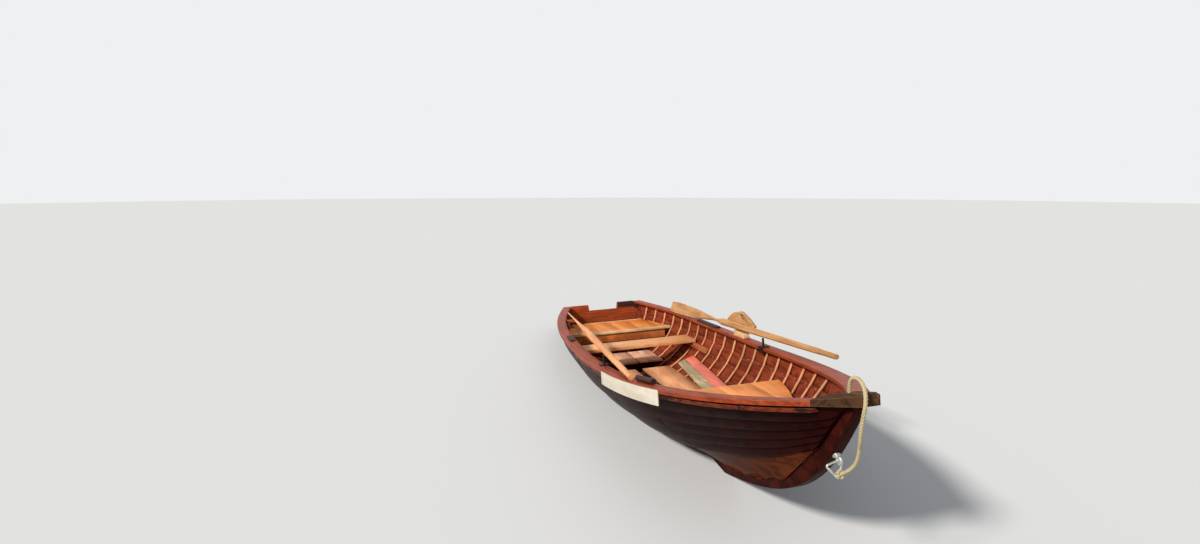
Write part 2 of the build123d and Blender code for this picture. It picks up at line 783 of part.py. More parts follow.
# Risers: strips along the ribs that carry the ends of the seats.
def riser_section(x, top):
    low = top - RISER_HEIGHT
    y_top = breadth_at(rib_face(x), top) - RISER_CLEAR
    y_low = breadth_at(rib_face(x), low) - RISER_CLEAR
    return [(x, y_low, low), (x, y_top, top), (x, y_top - RISER_THICK, top), (x, y_low - RISER_THICK, low)]


def riser(name, x0, x1, top):
    xs = [x0, (x0 + x1) / 2, x1]
    strip = skin([riser_section(x, top) for x in xs], True)
    keep(name + "_port", strip)
    keep(name + "_starboard", mirrored(strip))


for name, seat, aft, forward, top in (
    ("stern_riser", STERN_SEAT, *STERN_RISER_ENDS, STERN_SEAT[2] - SEAT_THICK - SEAT_GAP),
    ("rowing_riser", ROWING_SEAT, *ROWING_RISER_ENDS, ROWING_SEAT[2] - ROWING_THICK - SEAT_GAP),
    ("bow_riser", BOW_SEAT, *BOW_RISER_ENDS, bearer_low - SEAT_GAP),
):
    riser(name, seat[0] + aft, seat[1] + forward, top)


# Floorboards on bearers that stand on the planking between the ribs.
def bearer_section(x, reach, top):
    line = shifted(inner_corners(x), BEARER_CLEAR)
    foot_y = HALF_KEEL + 6.0
    foot = [(foot_y, max(height_at(line, foot_y), keel_top(x) + 1.0))]
    bottom = [p for p in line if foot_y + 6.0 < p[0] < reach - 8.0]
    half = foot + bottom + [(reach, height_at(line, reach)), (reach, top)]
    ring = [(x, y, z) for y, z in half]
    return ring + mirrored_points(reversed(ring))


for x, top in BEARER_ROWS:
    under = top - FLOOR_THICK - SEAT_GAP
    faces = [x - BEARER_WIDTH / 2, x + BEARER_WIDTH / 2]
    reach = min(breadth_at(shifted(inner_corners(at), BEARER_CLEAR), under) for at in faces) - BEARER_INSET
    keep("floor_bearers", skin([bearer_section(at, reach, under) for at in faces], True))
for name, x0, x1, y0, y1, top in FLOOR_BOARDS:
    keep(name, only(box_between(x0, x1, y0, y1, top - FLOOR_THICK, top)))


# The loose plank lies askew on the ribs and the floorboards of the port side: it is tilted, then
# lifted until its underside just clears them.
def loose_plank_place():
    tilted = Pos(LOOSE_AFT[0], LOOSE_AFT[1], 0) * Rot(0, 0, LOOSE_YAW) * Rot(LOOSE_ROLL, 0, 0)
    lift = 0.0
    for i in range(LOOSE_STEPS + 1):
        for side in (-LOOSE_HALF, 0.0, LOOSE_HALF):
            p = (tilted * Pos(LOOSE_LENGTH * i / LOOSE_STEPS, side, 0)).position
            floor = height_at(rib_face(p.X), p.Y)
            if p.Y < FLOOR_REACH:
                floor = max(floor, FLOOR_TOP)
            lift = max(lift, floor - p.Z)
    return Pos(0, 0, lift + LOOSE_CLEAR) * tilted


loose_place = loose_plank_place()
for name, y0, y1 in (("loose_plank_grey", -LOOSE_HALF, -0.2), ("loose_plank_red", 0.2, LOOSE_HALF)):
    keep(name, only(loose_place * box_between(0, LOOSE_LENGTH, y0, y1, 0, LOOSE_THICK)))


# Oars, drawn along +X from the blade's tip, with the blade upright.
def oar_ring(along, wide, thick):
    a, b = wide / 2, thick / 2
    c = min(a, b) * 0.42
    side = [(b - c, -a), (b, -a + c), (b, a - c), (b - c, a)]
    ring = side + [(-y, -z) for y, z in side]
    return [(along, y, z) for y, z in ring]


def oar_size_at(along):
    """Width and thickness of an oar at a place along it."""
    rows = list(OAR_ROWS) + list(LOOM_ROWS[1:])
    for a, b in zip(rows, rows[1:]):
        if along <= b[0]:
            part = (along - a[0]) / (b[0] - a[0])
            return (a[1] + (b[1] - a[1]) * part, a[2] + (b[2] - a[2]) * part)
    return rows[-1][1:]


def oar_outline(along):
    """Points round an oar at a place along it."""
    if along <= LOOM_ROWS[-1][0]:
        return oar_ring(along, *oar_size_at(along))
    turns = [math.radians(15.0 * n) for n in range(24)]
    return [(along, GRIP_RADIUS * math.cos(a), GRIP_RADIUS * math.sin(a)) for a in turns]


def oar_solids():
    blade = skin([oar_ring(*row) for row in OAR_ROWS])
    loom = skin([oar_ring(*row) for row in LOOM_ROWS], True)
    grip_x = LOOM_ROWS[-1][0]
    grip_length = OAR_LENGTH - grip_x
    grip = Pos(grip_x + grip_length / 2, 0, 0) * Rot(0, 90, 0) * Cylinder(GRIP_RADIUS, grip_length)
    shaft = only(blade + loom + grip)
    start = LOOM_SHOULDER + WING_BACK
    end = start + WING_LENGTH
    low = oar_size_at(start)[0] / 2 + WING_CLEAR
    low_end = oar_size_at(end)[0] / 2 + WING_CLEAR
    peak = (start + WING_PEAK, low + WING_HEIGHT)
    heel_in, heel_drop, heel_high = WING_HEEL
    toe_in, toe_drop, toe_high = WING_TOE
    outline = [
        (start, low), (end, low_end), (end, low_end + toe_high), (end - toe_in, peak[1] - toe_drop),
        peak, (start + heel_in, peak[1] - heel_drop), (start, low + heel_high),
    ]
    wing = upright(outline, -WING_THICK / 2, WING_THICK / 2)
    hole_place = (peak[0], 0, low + WING_HEIGHT * HOLE_SHARE)
    hole = Pos(*hole_place) * Rot(90, 0, 0) * Cylinder(PIN_HOLE, WING_THICK * 2)
    return shaft, only(wing - hole), hole_place


def underside(solid, x0, x1):
    """Lowest height of a solid between two places along the boat."""
    return (solid & box_between(x0, x1, -BEYOND, BEYOND, 0, ABOVE)).bounding_box().min.Z


def rail_place(x, across):
    """A place on the port rail's top: 0 across is its inner edge and 1 its outer one."""
    section = cap_section(x)
    return (section[0][1] + (section[1][1] - section[0][1]) * across, section[2][2])


def resting_height(tip_x, tip_y, heading, roll):
    """Height of an oar's line at which it just clears the rail that it is laid along."""
    turned = Pos(tip_x, abs(tip_y), 0) * Rot(0, 0, math.copysign(1, tip_y) * heading)
    turned = turned * Rot(math.copysign(1, tip_y) * roll, 0, 0)
    height = 0.0
    for n in range(int(OAR_LENGTH / OAR_STEP) + 1):
        along = n * OAR_STEP
        corners = [(turned * Pos(*p)).position for p in oar_outline(along)]
        inner, top = rail_place(corners[0].X, 0.0)
        over = [c.Z for c in corners if c.Y > inner]
        if over:
            height = max(height, top - min(over))
    return height + OAR_CLEAR


# Each oar is laid on its rail.
oar, wing, hole_place = oar_solids()
laid_oars = {}
mount_places = {}
for side, tip_x, tip_y, heading, roll in OAR_PLACES:
    height = resting_height(tip_x, tip_y, heading, roll)
    place = Pos(tip_x, tip_y, height) * Rot(0, 0, heading) * Rot(roll, 0, 0)
    laid_oars[side] = only(place * oar)
    keep(f"oar_{side}", laid_oars[side])
    keep(f"oar_{side}_wing", only(place * wing))
    hole = place * Pos(*hole_place) * Rot(-90, 0, 0)
    axis = Plane(hole).z_dir
    mount_places[f"oar_hole_{side}"] = (hole.position, axis if axis.Z > 0 else -axis)


# Fittings on the rails.
def rail_block(x0, x1, width, across, top_of):
    """A block lying on the port rail between two places, with its top at a height."""
    ends = []
    for x in (x0, (x0 + x1) / 2, x1):
        y, z = rail_place(x, across)
        low = z + SEAT_GAP
        high = top_of(x)
        half = width / 2
        ring = [(y - half, low), (y + half, low), (y + half - 3.0, high), (y - half + 3.0, high)]
        ends.append([(x, at, up) for at, up in ring])
    return skin(ends, True)


block_top = underside(laid_oars["port"], *BLOCK_X) - OAR_CLEAR
keep("oar_block_port", rail_block(*BLOCK_X, BLOCK_WIDTH, 0.5, lambda x: block_top))
for side, x0, x1, thick in RAIL_PADS:
    pad = rail_block(x0, x1, RAIL_PAD_WIDTH, 0.42, lambda x: rail_place(x, 0.5)[1] + thick)
    keep(f"rail_pad_{side}", pad if side == "port" else mirrored(pad))


def blade_bracket():
    """A cleat under the rail's inner edge that reaches in below the starboard blade."""
    x0, x1 = BRACKET_X
    blade = laid_oars["starboard"] & box_between(x0, x1, -BEYOND, BEYOND, 0, ABOVE)
    box = blade.bounding_box()
    rail_inner = min(cap_section(x)[0][1] for x in BRACKET_X)
    rail_low = min(cap_section(x)[0][2] for x in BRACKET_X) - SEAT_GAP
    back = breadth_at(rib_face(x0), rail_low - BRACKET_THICK) - SIDE_CLEAR
    reach = box.max.Y - 2.0
    arm = box_between(x0, x1, -back, reach, rail_low - BRACKET_THICK, rail_low)
    lip = box_between(x0, x1, 2 - rail_inner, reach, rail_low - BRACKET_THICK, box.min.Z - OAR_CLEAR)
    return only(arm + lip)


keep("blade_bracket", blade_bracket())


def grip_bar():
    x0, x1 = GRIP_BAR_X
    ends = []
    for x in GRIP_BAR_X:
        y, z = rail_place(x, 0.0)
        ends.append(Vector(x, -(y + GRIP_BAR_RADIUS + 6.0), z + SEAT_GAP + GRIP_BAR_RADIUS))
    run = ends[1] - ends[0]
    round_bar = Solid.make_cylinder(GRIP_BAR_RADIUS, run.length, Plane(ends[0], z_dir=run))
    return round_bar


keep("grip_bar", grip_bar())


def rowlock_iron():
    """A plate let over the rail's inner edge, with its pin."""
    x0, x1 = IRON_X - IRON_LENGTH / 2, IRON_X + IRON_LENGTH / 2
    y, z = rail_place(IRON_X, 0.0)
    inner = min(rail_place(x, 0.0)[0] for x in (x0, x1)) - 2 * SEAT_GAP
    top = max(rail_place(x, 0.0)[1] for x in (x0, x1)) + 2 * SEAT_GAP
    plate = box_between(x0, x1, inner - IRON_THICK, y + 44.0, top, top + IRON_THICK)
    tab = box_between(x0, x1, inner - IRON_THICK, inner, top - IRON_DROP, top + IRON_THICK)
    pin_foot = (IRON_X, y + PIN_INSET, top + IRON_THICK + SEAT_GAP)
    pin = Pos(*pin_foot) * Pos(0, 0, PIN_HEIGHT / 2) * Cylinder(PIN_RADIUS, PIN_HEIGHT)
    return only(plate + tab), only(pin), pin_foot


iron, pin, pin_foot = rowlock_iron()
for side, turn in (("port", lambda s: s), ("starboard", mirrored)):
    keep(f"rowlock_iron_{side}", turn(iron))
    keep(f"thole_pin_{side}", turn(pin))


# Blank name board, bent along the outside of the starboard rail.
def name_board_section(x):
    outer = rail_outer(x) + 0.6
    top = sheer_top(x)[1] + RAIL_THICK - 1.0
    thick = BOARD_THICK * rail_slant(x)
    low = top - BOARD_HEIGHT
    return [(x, -outer, top), (x, -outer - thick, top), (x, -outer - thick, low), (x, -outer, low)]


board_xs = [BOARD_AFT_X + (BOARD_END_X - BOARD_AFT_X) * i / 3 for i in range(4)]
keep("name_board", skin([name_board_section(x) for x in board_xs]))


# Bow eye and link.
def bow_eye():
    """The eye's middle, and the eye itself with its round plate."""
    x, z = bezier(STEM_FRONT, EYE_T)
    ahead = bezier(STEM_FRONT, EYE_T + 0.01)
    along = unit(ahead[0] - x, ahead[1] - z)
    out = Vector(along[1], 0, -along[0])
    base = Vector(x + SEAT_GAP, 0, z) + out * 2 * SEAT_GAP
    plate = Solid.make_cylinder(EYE_PLATE_RADIUS, EYE_PLATE_THICK, Plane(base, z_dir=out))
    shank = Solid.make_cylinder(EYE_ROD + 1.5, EYE_STAND - EYE_RADIUS, Plane(base, z_dir=out))
    middle = base + out * EYE_STAND
    ring = Solid.make_torus(EYE_RADIUS, EYE_ROD, Plane(middle, z_dir=(0, 1, 0)))
    return middle, only(ring + shank + plate)


eye_middle, eye = bow_eye()
keep("bow_eye", eye)
link_points = [(eye_middle.X, y, eye_middle.Z + z) for y, z in LINK_CORNERS]
link_path = FilletPolyline(*link_points, radius=LINK_FILLET, close=True)
link_ring = Plane(origin=link_path @ 0, z_dir=link_path % 0) * Circle(LINK_ROD)
link = only(sweep(link_ring, path=link_path))
keep("bow_link", link)


# Mooring rope and its knot.
def head_top(x):
    span = HEAD_LENGTH - SEAT_GAP
    part = (x - RAIL_END_X - SEAT_GAP) / span
    aft_high = head_low(RAIL_END_X + SEAT_GAP) + HEAD_HIGH_AFT
    front_high = head_low(RAIL_END_X + HEAD_LENGTH) + HEAD_HIGH_FRONT
    return aft_high + (front_high - aft_high) * part


def bend_radii(points):
    """The largest arc that the runs beside each corner leave room for."""
    radii = []
    for a, b, c in zip(points, points[1:], points[2:]):
        before, after = Vector(*b) - Vector(*a), Vector(*c) - Vector(*b)
        turn = math.radians(before.get_angle(after))
        radii.append(0.45 * min(before.length, after.length) / math.tan(turn / 2))
    return radii


knot_middle = eye_middle + Vector(*KNOT_PLACE)
rope_start = (ROPE_START_X, 2.0, head_top(ROPE_START_X) + ROPE_START_CLEAR)
last = Vector(*ROPE_POINTS[-1])
towards = (knot_middle - last).normalized()
rope_end = knot_middle - towards * (KNOT_RADIUS - 1.0)
rope_points = [rope_start] + list(ROPE_POINTS) + [tuple(rope_end)]
rope_radii = bend_radii(rope_points)
rope_path = FilletPolyline(*rope_points, radius=rope_radii)
rope_section = Plane(origin=rope_path @ 0, z_dir=rope_path % 0) * Circle(ROPE_RADIUS)
rope = only(sweep(rope_section, path=rope_path))
link_room_ring = Plane(origin=link_path @ 0, z_dir=link_path % 0) * Circle(LINK_ROD + KNOT_CLEAR)
room_for_link = only(sweep(link_room_ring, path=link_path))
knot = Pos(knot_middle) * Sphere(KNOT_RADIUS) - room_for_link - rope
keep("rope_knot", max(knot.solids(), key=lambda s: s.volume))
keep("mooring_rope", rope)
print("rope radii", [round(r) for r in rope_radii], "length", round(rope_path.length))
straight_volume = rope_path.length * math.pi * ROPE_RADIUS ** 2
print("rope volume", round(rope.volume), "section times length", round(straight_volume))

shift = (-ORIGIN_X, 0, -WATERLINE)
boxes = []
for name, solids in nodes.items():
    moved = [s.moved(Location(shift)) for s in solids]
    boxes += [s.bounding_box() for s in moved]
    export_step(Compound(children=moved) if len(moved) > 1 else moved[0], f"parts/{name}.step")
low = [min(getattr(b.min, a) for b in boxes) for a in "XYZ"]
high = [max(getattr(b.max, a) for b in boxes) for a in "XYZ"]
mount_places["thole_pin_port"] = (Vector(*pin_foot) + Vector(0, 0, PIN_HEIGHT / 2), Vector(0, 0, 1))
mount_places["motor_clamp"] = (Vector(pad_back, 0, (pad_low + pad_z) / 2), Vector(-1, 0, 0))
mount_places["bow_eye"] = (eye_middle, Vector(0, 1, 0))
for name, (place, axis) in mount_places.items():
    metres = [round((a + b) / 1000, 5) for a, b in zip(place, shift)]
    print("mount", name, metres, [round(v, 5) for v in axis])
print("size", [round(h - l, 1) for l, h in zip(low, high)], "nodes", len(nodes))
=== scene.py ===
# %% [markdown]
# A clinker-built rowing boat, dressed for a studio render. The solid model gives every plank, rib,
# seat and oar at its real size; this file adds wood, varnish, wear, rope and nails. Lengths are
# metres, +X runs from the transom to the bow, +Y to port and +Z up from the waterline.

import math

import bpy
import numpy as np
from mathutils import Matrix, Vector
from mathutils.bvhtree import BVHTree


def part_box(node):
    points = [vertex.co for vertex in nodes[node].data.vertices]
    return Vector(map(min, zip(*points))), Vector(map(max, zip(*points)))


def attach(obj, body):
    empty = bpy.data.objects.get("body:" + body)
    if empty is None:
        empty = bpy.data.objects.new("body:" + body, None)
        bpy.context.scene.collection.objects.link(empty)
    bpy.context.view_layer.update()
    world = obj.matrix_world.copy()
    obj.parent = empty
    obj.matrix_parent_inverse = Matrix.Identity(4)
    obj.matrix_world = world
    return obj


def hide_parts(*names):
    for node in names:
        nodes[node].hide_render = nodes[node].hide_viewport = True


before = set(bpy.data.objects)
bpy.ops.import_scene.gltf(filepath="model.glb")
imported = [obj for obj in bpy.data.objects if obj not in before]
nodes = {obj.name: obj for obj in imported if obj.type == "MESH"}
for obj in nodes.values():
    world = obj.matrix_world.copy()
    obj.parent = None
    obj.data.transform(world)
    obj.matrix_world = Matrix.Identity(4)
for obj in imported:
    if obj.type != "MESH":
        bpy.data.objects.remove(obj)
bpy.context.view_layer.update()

# %% [markdown]
# The camera stands ahead of the bow on the starboard side, a little above the rail. It could be
# aimed with a constraint, but its place and three directions, given in the boat's own frame, also fix
# its roll, so the boat is seen bow up and heeled a little without being moved. The lens is the focal
# length in pixels over the image's width, times the sensor's width.

# %% Camera
IMAGE_WIDTH = 1200
FOCAL_PIXELS = 620.0
SENSOR_WIDTH = 36.0
NEAREST_SEEN = 0.05
FARTHEST_SEEN = 300.0
CAMERA_PLACE = Vector((4.42342, -1.19299, 1.20315))
CAMERA_RIGHT = Vector((0.18616313, 0.97995202, -0.07097409))
CAMERA_UP = Vector((-0.04950996, 0.08150151, 0.99544275))
CAMERA_AHEAD = Vector((-0.98127063, 0.18180081, -0.06368996))

camera = bpy.data.objects.new("camera", bpy.data.cameras.new("camera"))
bpy.context.scene.collection.objects.link(camera)
camera.data.sensor_width = SENSOR_WIDTH
camera.data.lens = SENSOR_WIDTH * FOCAL_PIXELS / IMAGE_WIDTH
camera.data.clip_start = NEAREST_SEEN
camera.data.clip_end = FARTHEST_SEEN
turn = Matrix((CAMERA_RIGHT, CAMERA_UP, -CAMERA_AHEAD)).transposed().to_4x4()
camera.matrix_world = Matrix.Translation(CAMERA_PLACE) @ turn
bpy.context.scene.camera = camera
print("lens", round(camera.data.lens, 2), "mm")


# %% [markdown]
# Small helpers come next. Every added piece is one mesh that rides on a body of the boat, so one
# function links it and smooths it. The strands, the nails' heads and the folded pad are all rings of
# points with quads between them, which leaves no stray faces.

# %% Mesh helpers
def new_piece(name, vertices, faces, body="hull", slot=None, smooth=True):
    """A mesh as one piece of the scene, riding on a body unless it belongs to none."""
    mesh = bpy.data.meshes.new(name)
    mesh.from_pydata([tuple(v) for v in vertices], [], faces)
    mesh.validate()
    piece = bpy.data.objects.new(name, mesh)
    bpy.context.scene.collection.objects.link(piece)
    if smooth:
        mesh.shade_smooth()
    if body:
        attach(piece, body)
    return piece


def ring(middle, side, up, radius, around):
    """Points round a circle in the plane of two directions."""
    angles = [math.tau * k / around for k in range(around)]
    return [middle + side * (radius * math.cos(a)) + up * (radius * math.sin(a)) for a in angles]


def band(first, second, around):
    """The quads between two rings, each given by the number of its first point."""
    pairs = [(k, (k + 1) % around) for k in range(around)]
    return [(first + k, first + n, second + n, second + k) for k, n in pairs]


def rod_faces(rings, around):
    """The faces of a rod made of rings, with one face over each end."""
    last = (rings - 1) * around
    faces = []
    for start in range(0, last, around):
        faces += band(start, start + around, around)
    return faces + [tuple(reversed(range(around))), tuple(range(last, last + around))]


def joined(parts):
    """Several lists of vertices and faces as one."""
    vertices, faces = [], []
    for more, shapes in parts:
        start = len(vertices)
        vertices += more
        faces += [tuple(v + start for v in face) for face in shapes]
    return vertices, faces


# %% [markdown]
# A line for a rope needs two directions across it at each point. Taking them afresh at every point
# would make them jump, so each pair is the last one, turned only as far as the line has turned.
# Strands then wind round such a line by an angle that grows with the distance along it.

# %% Lines and strands
STRANDS = 3
STRAND_SIDES = 8
CURVE_STEPS = 14


def nurbs_line(route):
    """Points of the smooth line that a NURBS curve draws near a route."""
    curve = bpy.data.curves.new("route", "CURVE")
    curve.dimensions = "3D"
    curve.resolution_u = CURVE_STEPS
    spline = curve.splines.new("NURBS")
    spline.points.add(len(route) - 1)
    for point, place in zip(spline.points, route):
        point.co = (*place, 1.0)
    spline.order_u = 3
    spline.use_endpoint_u = True
    holder = bpy.data.objects.new("route", curve)
    mesh = bpy.data.meshes.new_from_object(holder)
    line = [v.co.copy() for v in mesh.vertices]
    bpy.data.meshes.remove(mesh)
    bpy.data.curves.remove(curve)
    return line


def distances_along(line):
    """How far along the line each of its points lies."""
    distances = [0.0]
    for a, b in zip(line, line[1:]):
        distances.append(distances[-1] + (b - a).length)
    return distances


def even_line(line, step):
    """The line again with points about a step apart."""
    distances = distances_along(line)
    count = max(2, round(distances[-1] / step))
    found, i = [], 0
    for n in range(count + 1):
        goal = distances[-1] * n / count
        while i < len(line) - 2 and distances[i + 1] < goal:
            i += 1
        share = (goal - distances[i]) / (distances[i + 1] - distances[i])
        found.append(line[i].lerp(line[i + 1], share))
    return found


def frames_along(line):
    """Each point of a line with two directions across it."""
    last = len(line) - 1
    frames, side = [], None
    for i, place in enumerate(line):
        ahead = (line[min(i + 1, last)] - line[max(i - 1, 0)]).normalized()
        side = ahead.orthogonal().normalized() if side is None else side
        side = (side - ahead * side.dot(ahead)).normalized()
        frames.append((place, side, ahead.cross(side)))
    return frames


def strands_along(line, lay, offset, radius):
    """Strands twisted round a line of even points, one turn for each lay length."""
    places = list(zip(frames_along(line), distances_along(line)))
    parts = []
    for strand in range(STRANDS):
        track = []
        for (place, side, up), distance in places:
            a = math.tau * (distance / lay + strand / STRANDS)
            track.append(place + (side * math.cos(a) + up * math.sin(a)) * offset)
        rings = [ring(*across, radius, STRAND_SIDES) for across in frames_along(track)]
        parts.append((sum(rings, []), rod_faces(len(rings), STRAND_SIDES)))
    return joined(parts)


# %% [markdown]
# The mooring rope is a three-strand laid rope. It loops up and over the stem head, hangs before the
# stem and ends in a knot on the link. A plain tube with a twisted bump map would be lighter, but its
# outline would stay smooth. So a NURBS line near a few points is its middle, and three real strands
# wind round that line, which catches the light as laid rope does.

# %% Rope
ROPE_ROUTE = (
    (2.508, 0.002, 0.5901), (2.515, 0.0, 0.632), (2.546, -0.003, 0.657), (2.596, -0.01, 0.66),
    (2.64, -0.022, 0.638), (2.664, -0.038, 0.596), (2.662, -0.05, 0.552), (2.646, -0.048, 0.506),
    (2.622, -0.038, 0.458), (2.594, -0.025, 0.413), (2.562, -0.014, 0.37), (2.522, -0.006, 0.334),
    (2.478, -0.003, 0.302), (2.4442, -0.0023, 0.2828),
)
ROPE_RADIUS = 0.007
ROPE_STEP = 0.0024
LAY_LENGTH = 0.036
STRAND_RADIUS = 0.0036

rope_line = even_line(nurbs_line(ROPE_ROUTE), ROPE_STEP)
rope_mesh = strands_along(rope_line, LAY_LENGTH, ROPE_RADIUS - STRAND_RADIUS, STRAND_RADIUS)
rope = new_piece("mooring_rope_strands", *rope_mesh, slot="rope_fibre")
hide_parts("mooring_rope")
print("rope", round(distances_along(rope_line)[-1], 3), "m,", len(rope.data.polygons), "faces")

# %% [markdown]
# The rope's knot is drawn tight round the lowest corner of the link. A hitch could be modelled turn
# by turn, but at this size only its crossings are seen. A trefoil, a closed loop that passes over and
# under itself three times, is one short formula and looks like a knot from every side.

# %% Knot
KNOT_SIZE = 0.0046
KNOT_DEPTH = 1.35
KNOT_ROLL = math.radians(20.0)
KNOT_LEAN = math.radians(62.0)
KNOT_POINTS = 110
KNOT_LAY_LENGTH = 0.8 * LAY_LENGTH
KNOT_STRAND_OFFSET = 0.0026
KNOT_STRAND_RADIUS = 0.0029

knot_low, knot_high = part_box("rope_knot")
knot_middle = (knot_low + knot_high) / 2
knot_tilt = Matrix.Rotation(KNOT_LEAN, 3, "Y") @ Matrix.Rotation(KNOT_ROLL, 3, "X")


def knot_point(share):
    """The trefoil's point at a share of the way round it."""
    a = math.tau * share
    across = math.sin(a) + 2 * math.sin(2 * a)
    along = math.cos(a) - 2 * math.cos(2 * a)
    loop = Vector((across, along, -KNOT_DEPTH * math.sin(3 * a)))
    return knot_middle + knot_tilt @ loop * KNOT_SIZE


knot_line = even_line([knot_point(n / KNOT_POINTS) for n in range(KNOT_POINTS + 1)], ROPE_STEP)
knot_mesh = strands_along(knot_line, KNOT_LAY_LENGTH, KNOT_STRAND_OFFSET, KNOT_STRAND_RADIUS)
knot = new_piece("rope_knot_turns", *knot_mesh, slot="rope_fibre")
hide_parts("rope_knot")
print("knot spans", [round(v, 3) for v in knot.dimensions])

# %% [markdown]
# The floor is one pale plane through the waterline, tilted against the boat's own frame, so that the
# stern sits deeper than the forefoot. A plain plane would show inside the boat, and a boolean cut of
# it is slow and fragile. So the points where the plane crosses the planks' edges are measured, and
# the floor is built as one ring of quads from that outline outward.

# %% Floor with a hole along the waterline
FLOOR_NORMAL = Vector((0.0909, 0.0547, 0.9943)).normalized()
FLOOR_REACH = 60.0
HOLE_INSET = 0.005
HOLE_STEP = 0.05
HOLE_STRETCH = 0.12
HOLE_LEAST = 0.002


def cut_points(names, normal, distance=0.0):
    """Where a plane, given by its normal and distance, crosses the edges of some nodes' meshes."""
    found = []
    for name in names:
        mesh = nodes[name].data
        places = np.array([v.co for v in mesh.vertices])
        heights = places @ np.array(normal) - distance
        ends = np.array([e.vertices for e in mesh.edges])
        crossed = ends[heights[ends[:, 0]] * heights[ends[:, 1]] < 0]
        first, second = places[crossed[:, 0]], places[crossed[:, 1]]
        first_height, second_height = heights[crossed[:, 0], None], heights[crossed[:, 1], None]
        found.append(first + (second - first) * first_height / (first_height - second_height))
    return np.concatenate(found)


hull_names = [n for n in nodes if n.startswith("strake_")] + ["keel", "stem", "transom"]
water_cut = cut_points(hull_names, FLOOR_NORMAL)
low_x, high_x = water_cut[:, 0].min() + HOLE_INSET, water_cut[:, 0].max() - HOLE_INSET
stations = np.linspace(low_x, high_x, int((high_x - low_x) / HOLE_STEP) + 1)


def outline(sign):
    """One side of the hole, through the farthest cut point of each stretch of the hull."""
    side = water_cut[water_cut[:, 1] * sign > 0.0]
    found = []
    for start in np.arange(low_x, high_x, HOLE_STRETCH):
        near = side[(side[:, 0] >= start) & (side[:, 0] < start + HOLE_STRETCH)]
        if len(near):
            found.append(near[np.argmax(near[:, 1] * sign)])
    xs, ys = [p[0] for p in found], [p[1] * sign for p in found]
    breadths = np.interp(stations, xs, ys, left=ys[0], right=0.0) - HOLE_INSET
    return [(x, sign * max(y, HOLE_LEAST)) for x, y in zip(stations, breadths)]


def on_floor(x, y):
    """The point of the floor's plane straight above or below a place."""
    return Vector((x, y, -(FLOOR_NORMAL.x * x + FLOOR_NORMAL.y * y) / FLOOR_NORMAL.z))


hole = outline(-1) + outline(1)[::-1]
hole_middle = Vector(((low_x + high_x) / 2, 0.0))
rim, far = [], []
for x, y in hole:
    ray = (Vector((x, y)) - hole_middle).normalized() * FLOOR_REACH
    rim.append(on_floor(x, y))
    far.append(on_floor(*(hole_middle + ray)))
floor = new_piece("floor", rim + far, band(0, len(rim), len(rim)), body=None, smooth=False)
print("waterline runs from", round(low_x, 2), "to", round(high_x, 2), "m")

# %% [markdown]
# Copper rivets hold each lap of the planks, one through every rib and one between two ribs. Inside,
# the end of each is closed over a small dished washer, the rove; outside, a flat head lies in the
# plank. Spots in the wood's colour would look flat in a low sun, so each is a small dome of its own.
# A plane across the boat gives the height of each lap, and a ray from either side finds the wood.

# %% Rivets and roves
RIB_START = -1.801
RIB_PITCH = 0.196
RIB_COUNT = 19
LAND_MIDDLE = 0.009
OUTSIDE_BOAT = 2.0
ROVE = {"radius": 0.0058, "height": 0.0026}
HEAD = {"radius": 0.0042, "height": 0.0009}
DOME_SIDES = 10
DOME_RINGS = ((1.0, -0.2), (0.96, 0.35), (0.55, 0.85))
LAPPED_STRAKES = ("garboard", "second", "third", "fourth", "fifth")


def surface_tree(names):
    """The surfaces of some nodes as one tree that rays can be cast at."""
    vertices, faces = [], []
    for name in names:
        mesh = nodes[name].data
        start = len(vertices)
        vertices += [v.co.copy() for v in mesh.vertices]
        faces += [tuple(i + start for i in p.vertices) for p in mesh.polygons]
    return BVHTree.FromPolygons(vertices, faces)


def dome(place, normal, radius, height):
    """A low round head; DOME_RINGS gives each ring its shares of the radius and of the height."""
    side = normal.orthogonal().normalized()
    up = normal.cross(side)
    vertices, faces = [], []
    for width, lift in DOME_RINGS:
        vertices += ring(place + normal * (height * lift), side, up, radius * width, DOME_SIDES)
    top = len(vertices)
    vertices.append(place + normal * height)
    for start in range(0, top - DOME_SIDES, DOME_SIDES):
        faces += band(start, start + DOME_SIDES, DOME_SIDES)
    last = top - DOME_SIDES
    return vertices, faces + [(last + k, last + (k + 1) % DOME_SIDES, top) for k in range(DOME_SIDES)]


def domes_at(surface, start, direction, radius, height):
    """One dome where a ray meets the wood, facing back along the ray, or none where it misses."""
    place, normal, _, _ = surface.ray_cast(start, direction)
    if place is None:
        return []
    return [dome(place, -normal if normal.dot(direction) > 0 else normal, radius, height)]


roves, heads = [], []
for side, sign in (("port", 1.0), ("starboard", -1.0)):
    outside = surface_tree([n for n in nodes if n.startswith("strake_") and n.endswith(side)])
    inside = surface_tree([n for n in nodes if n.startswith(("strake_", "ribs_")) and n.endswith(side)])
    outboard = Vector((0.0, sign, 0.0))
    for half_space in range(2 * RIB_COUNT - 1):
        x = RIB_START + RIB_PITCH * half_space / 2
        for strake in LAPPED_STRAKES:
            cut = cut_points([f"strake_{strake}_{side}"], (1.0, 0.0, 0.0), x)
            if len(cut):
                middle = Vector((x, 0.0, cut[:, 2].max() - LAND_MIDDLE))
                roves += domes_at(inside, middle, outboard, **ROVE)
                heads += domes_at(outside, middle + outboard * OUTSIDE_BOAT, -outboard, **HEAD)
rove_piece = new_piece("copper_roves", *joined(roves))
head_piece = new_piece("copper_rivet_heads", *joined(heads))
print("roves", len(roves), "rivet heads", len(heads))
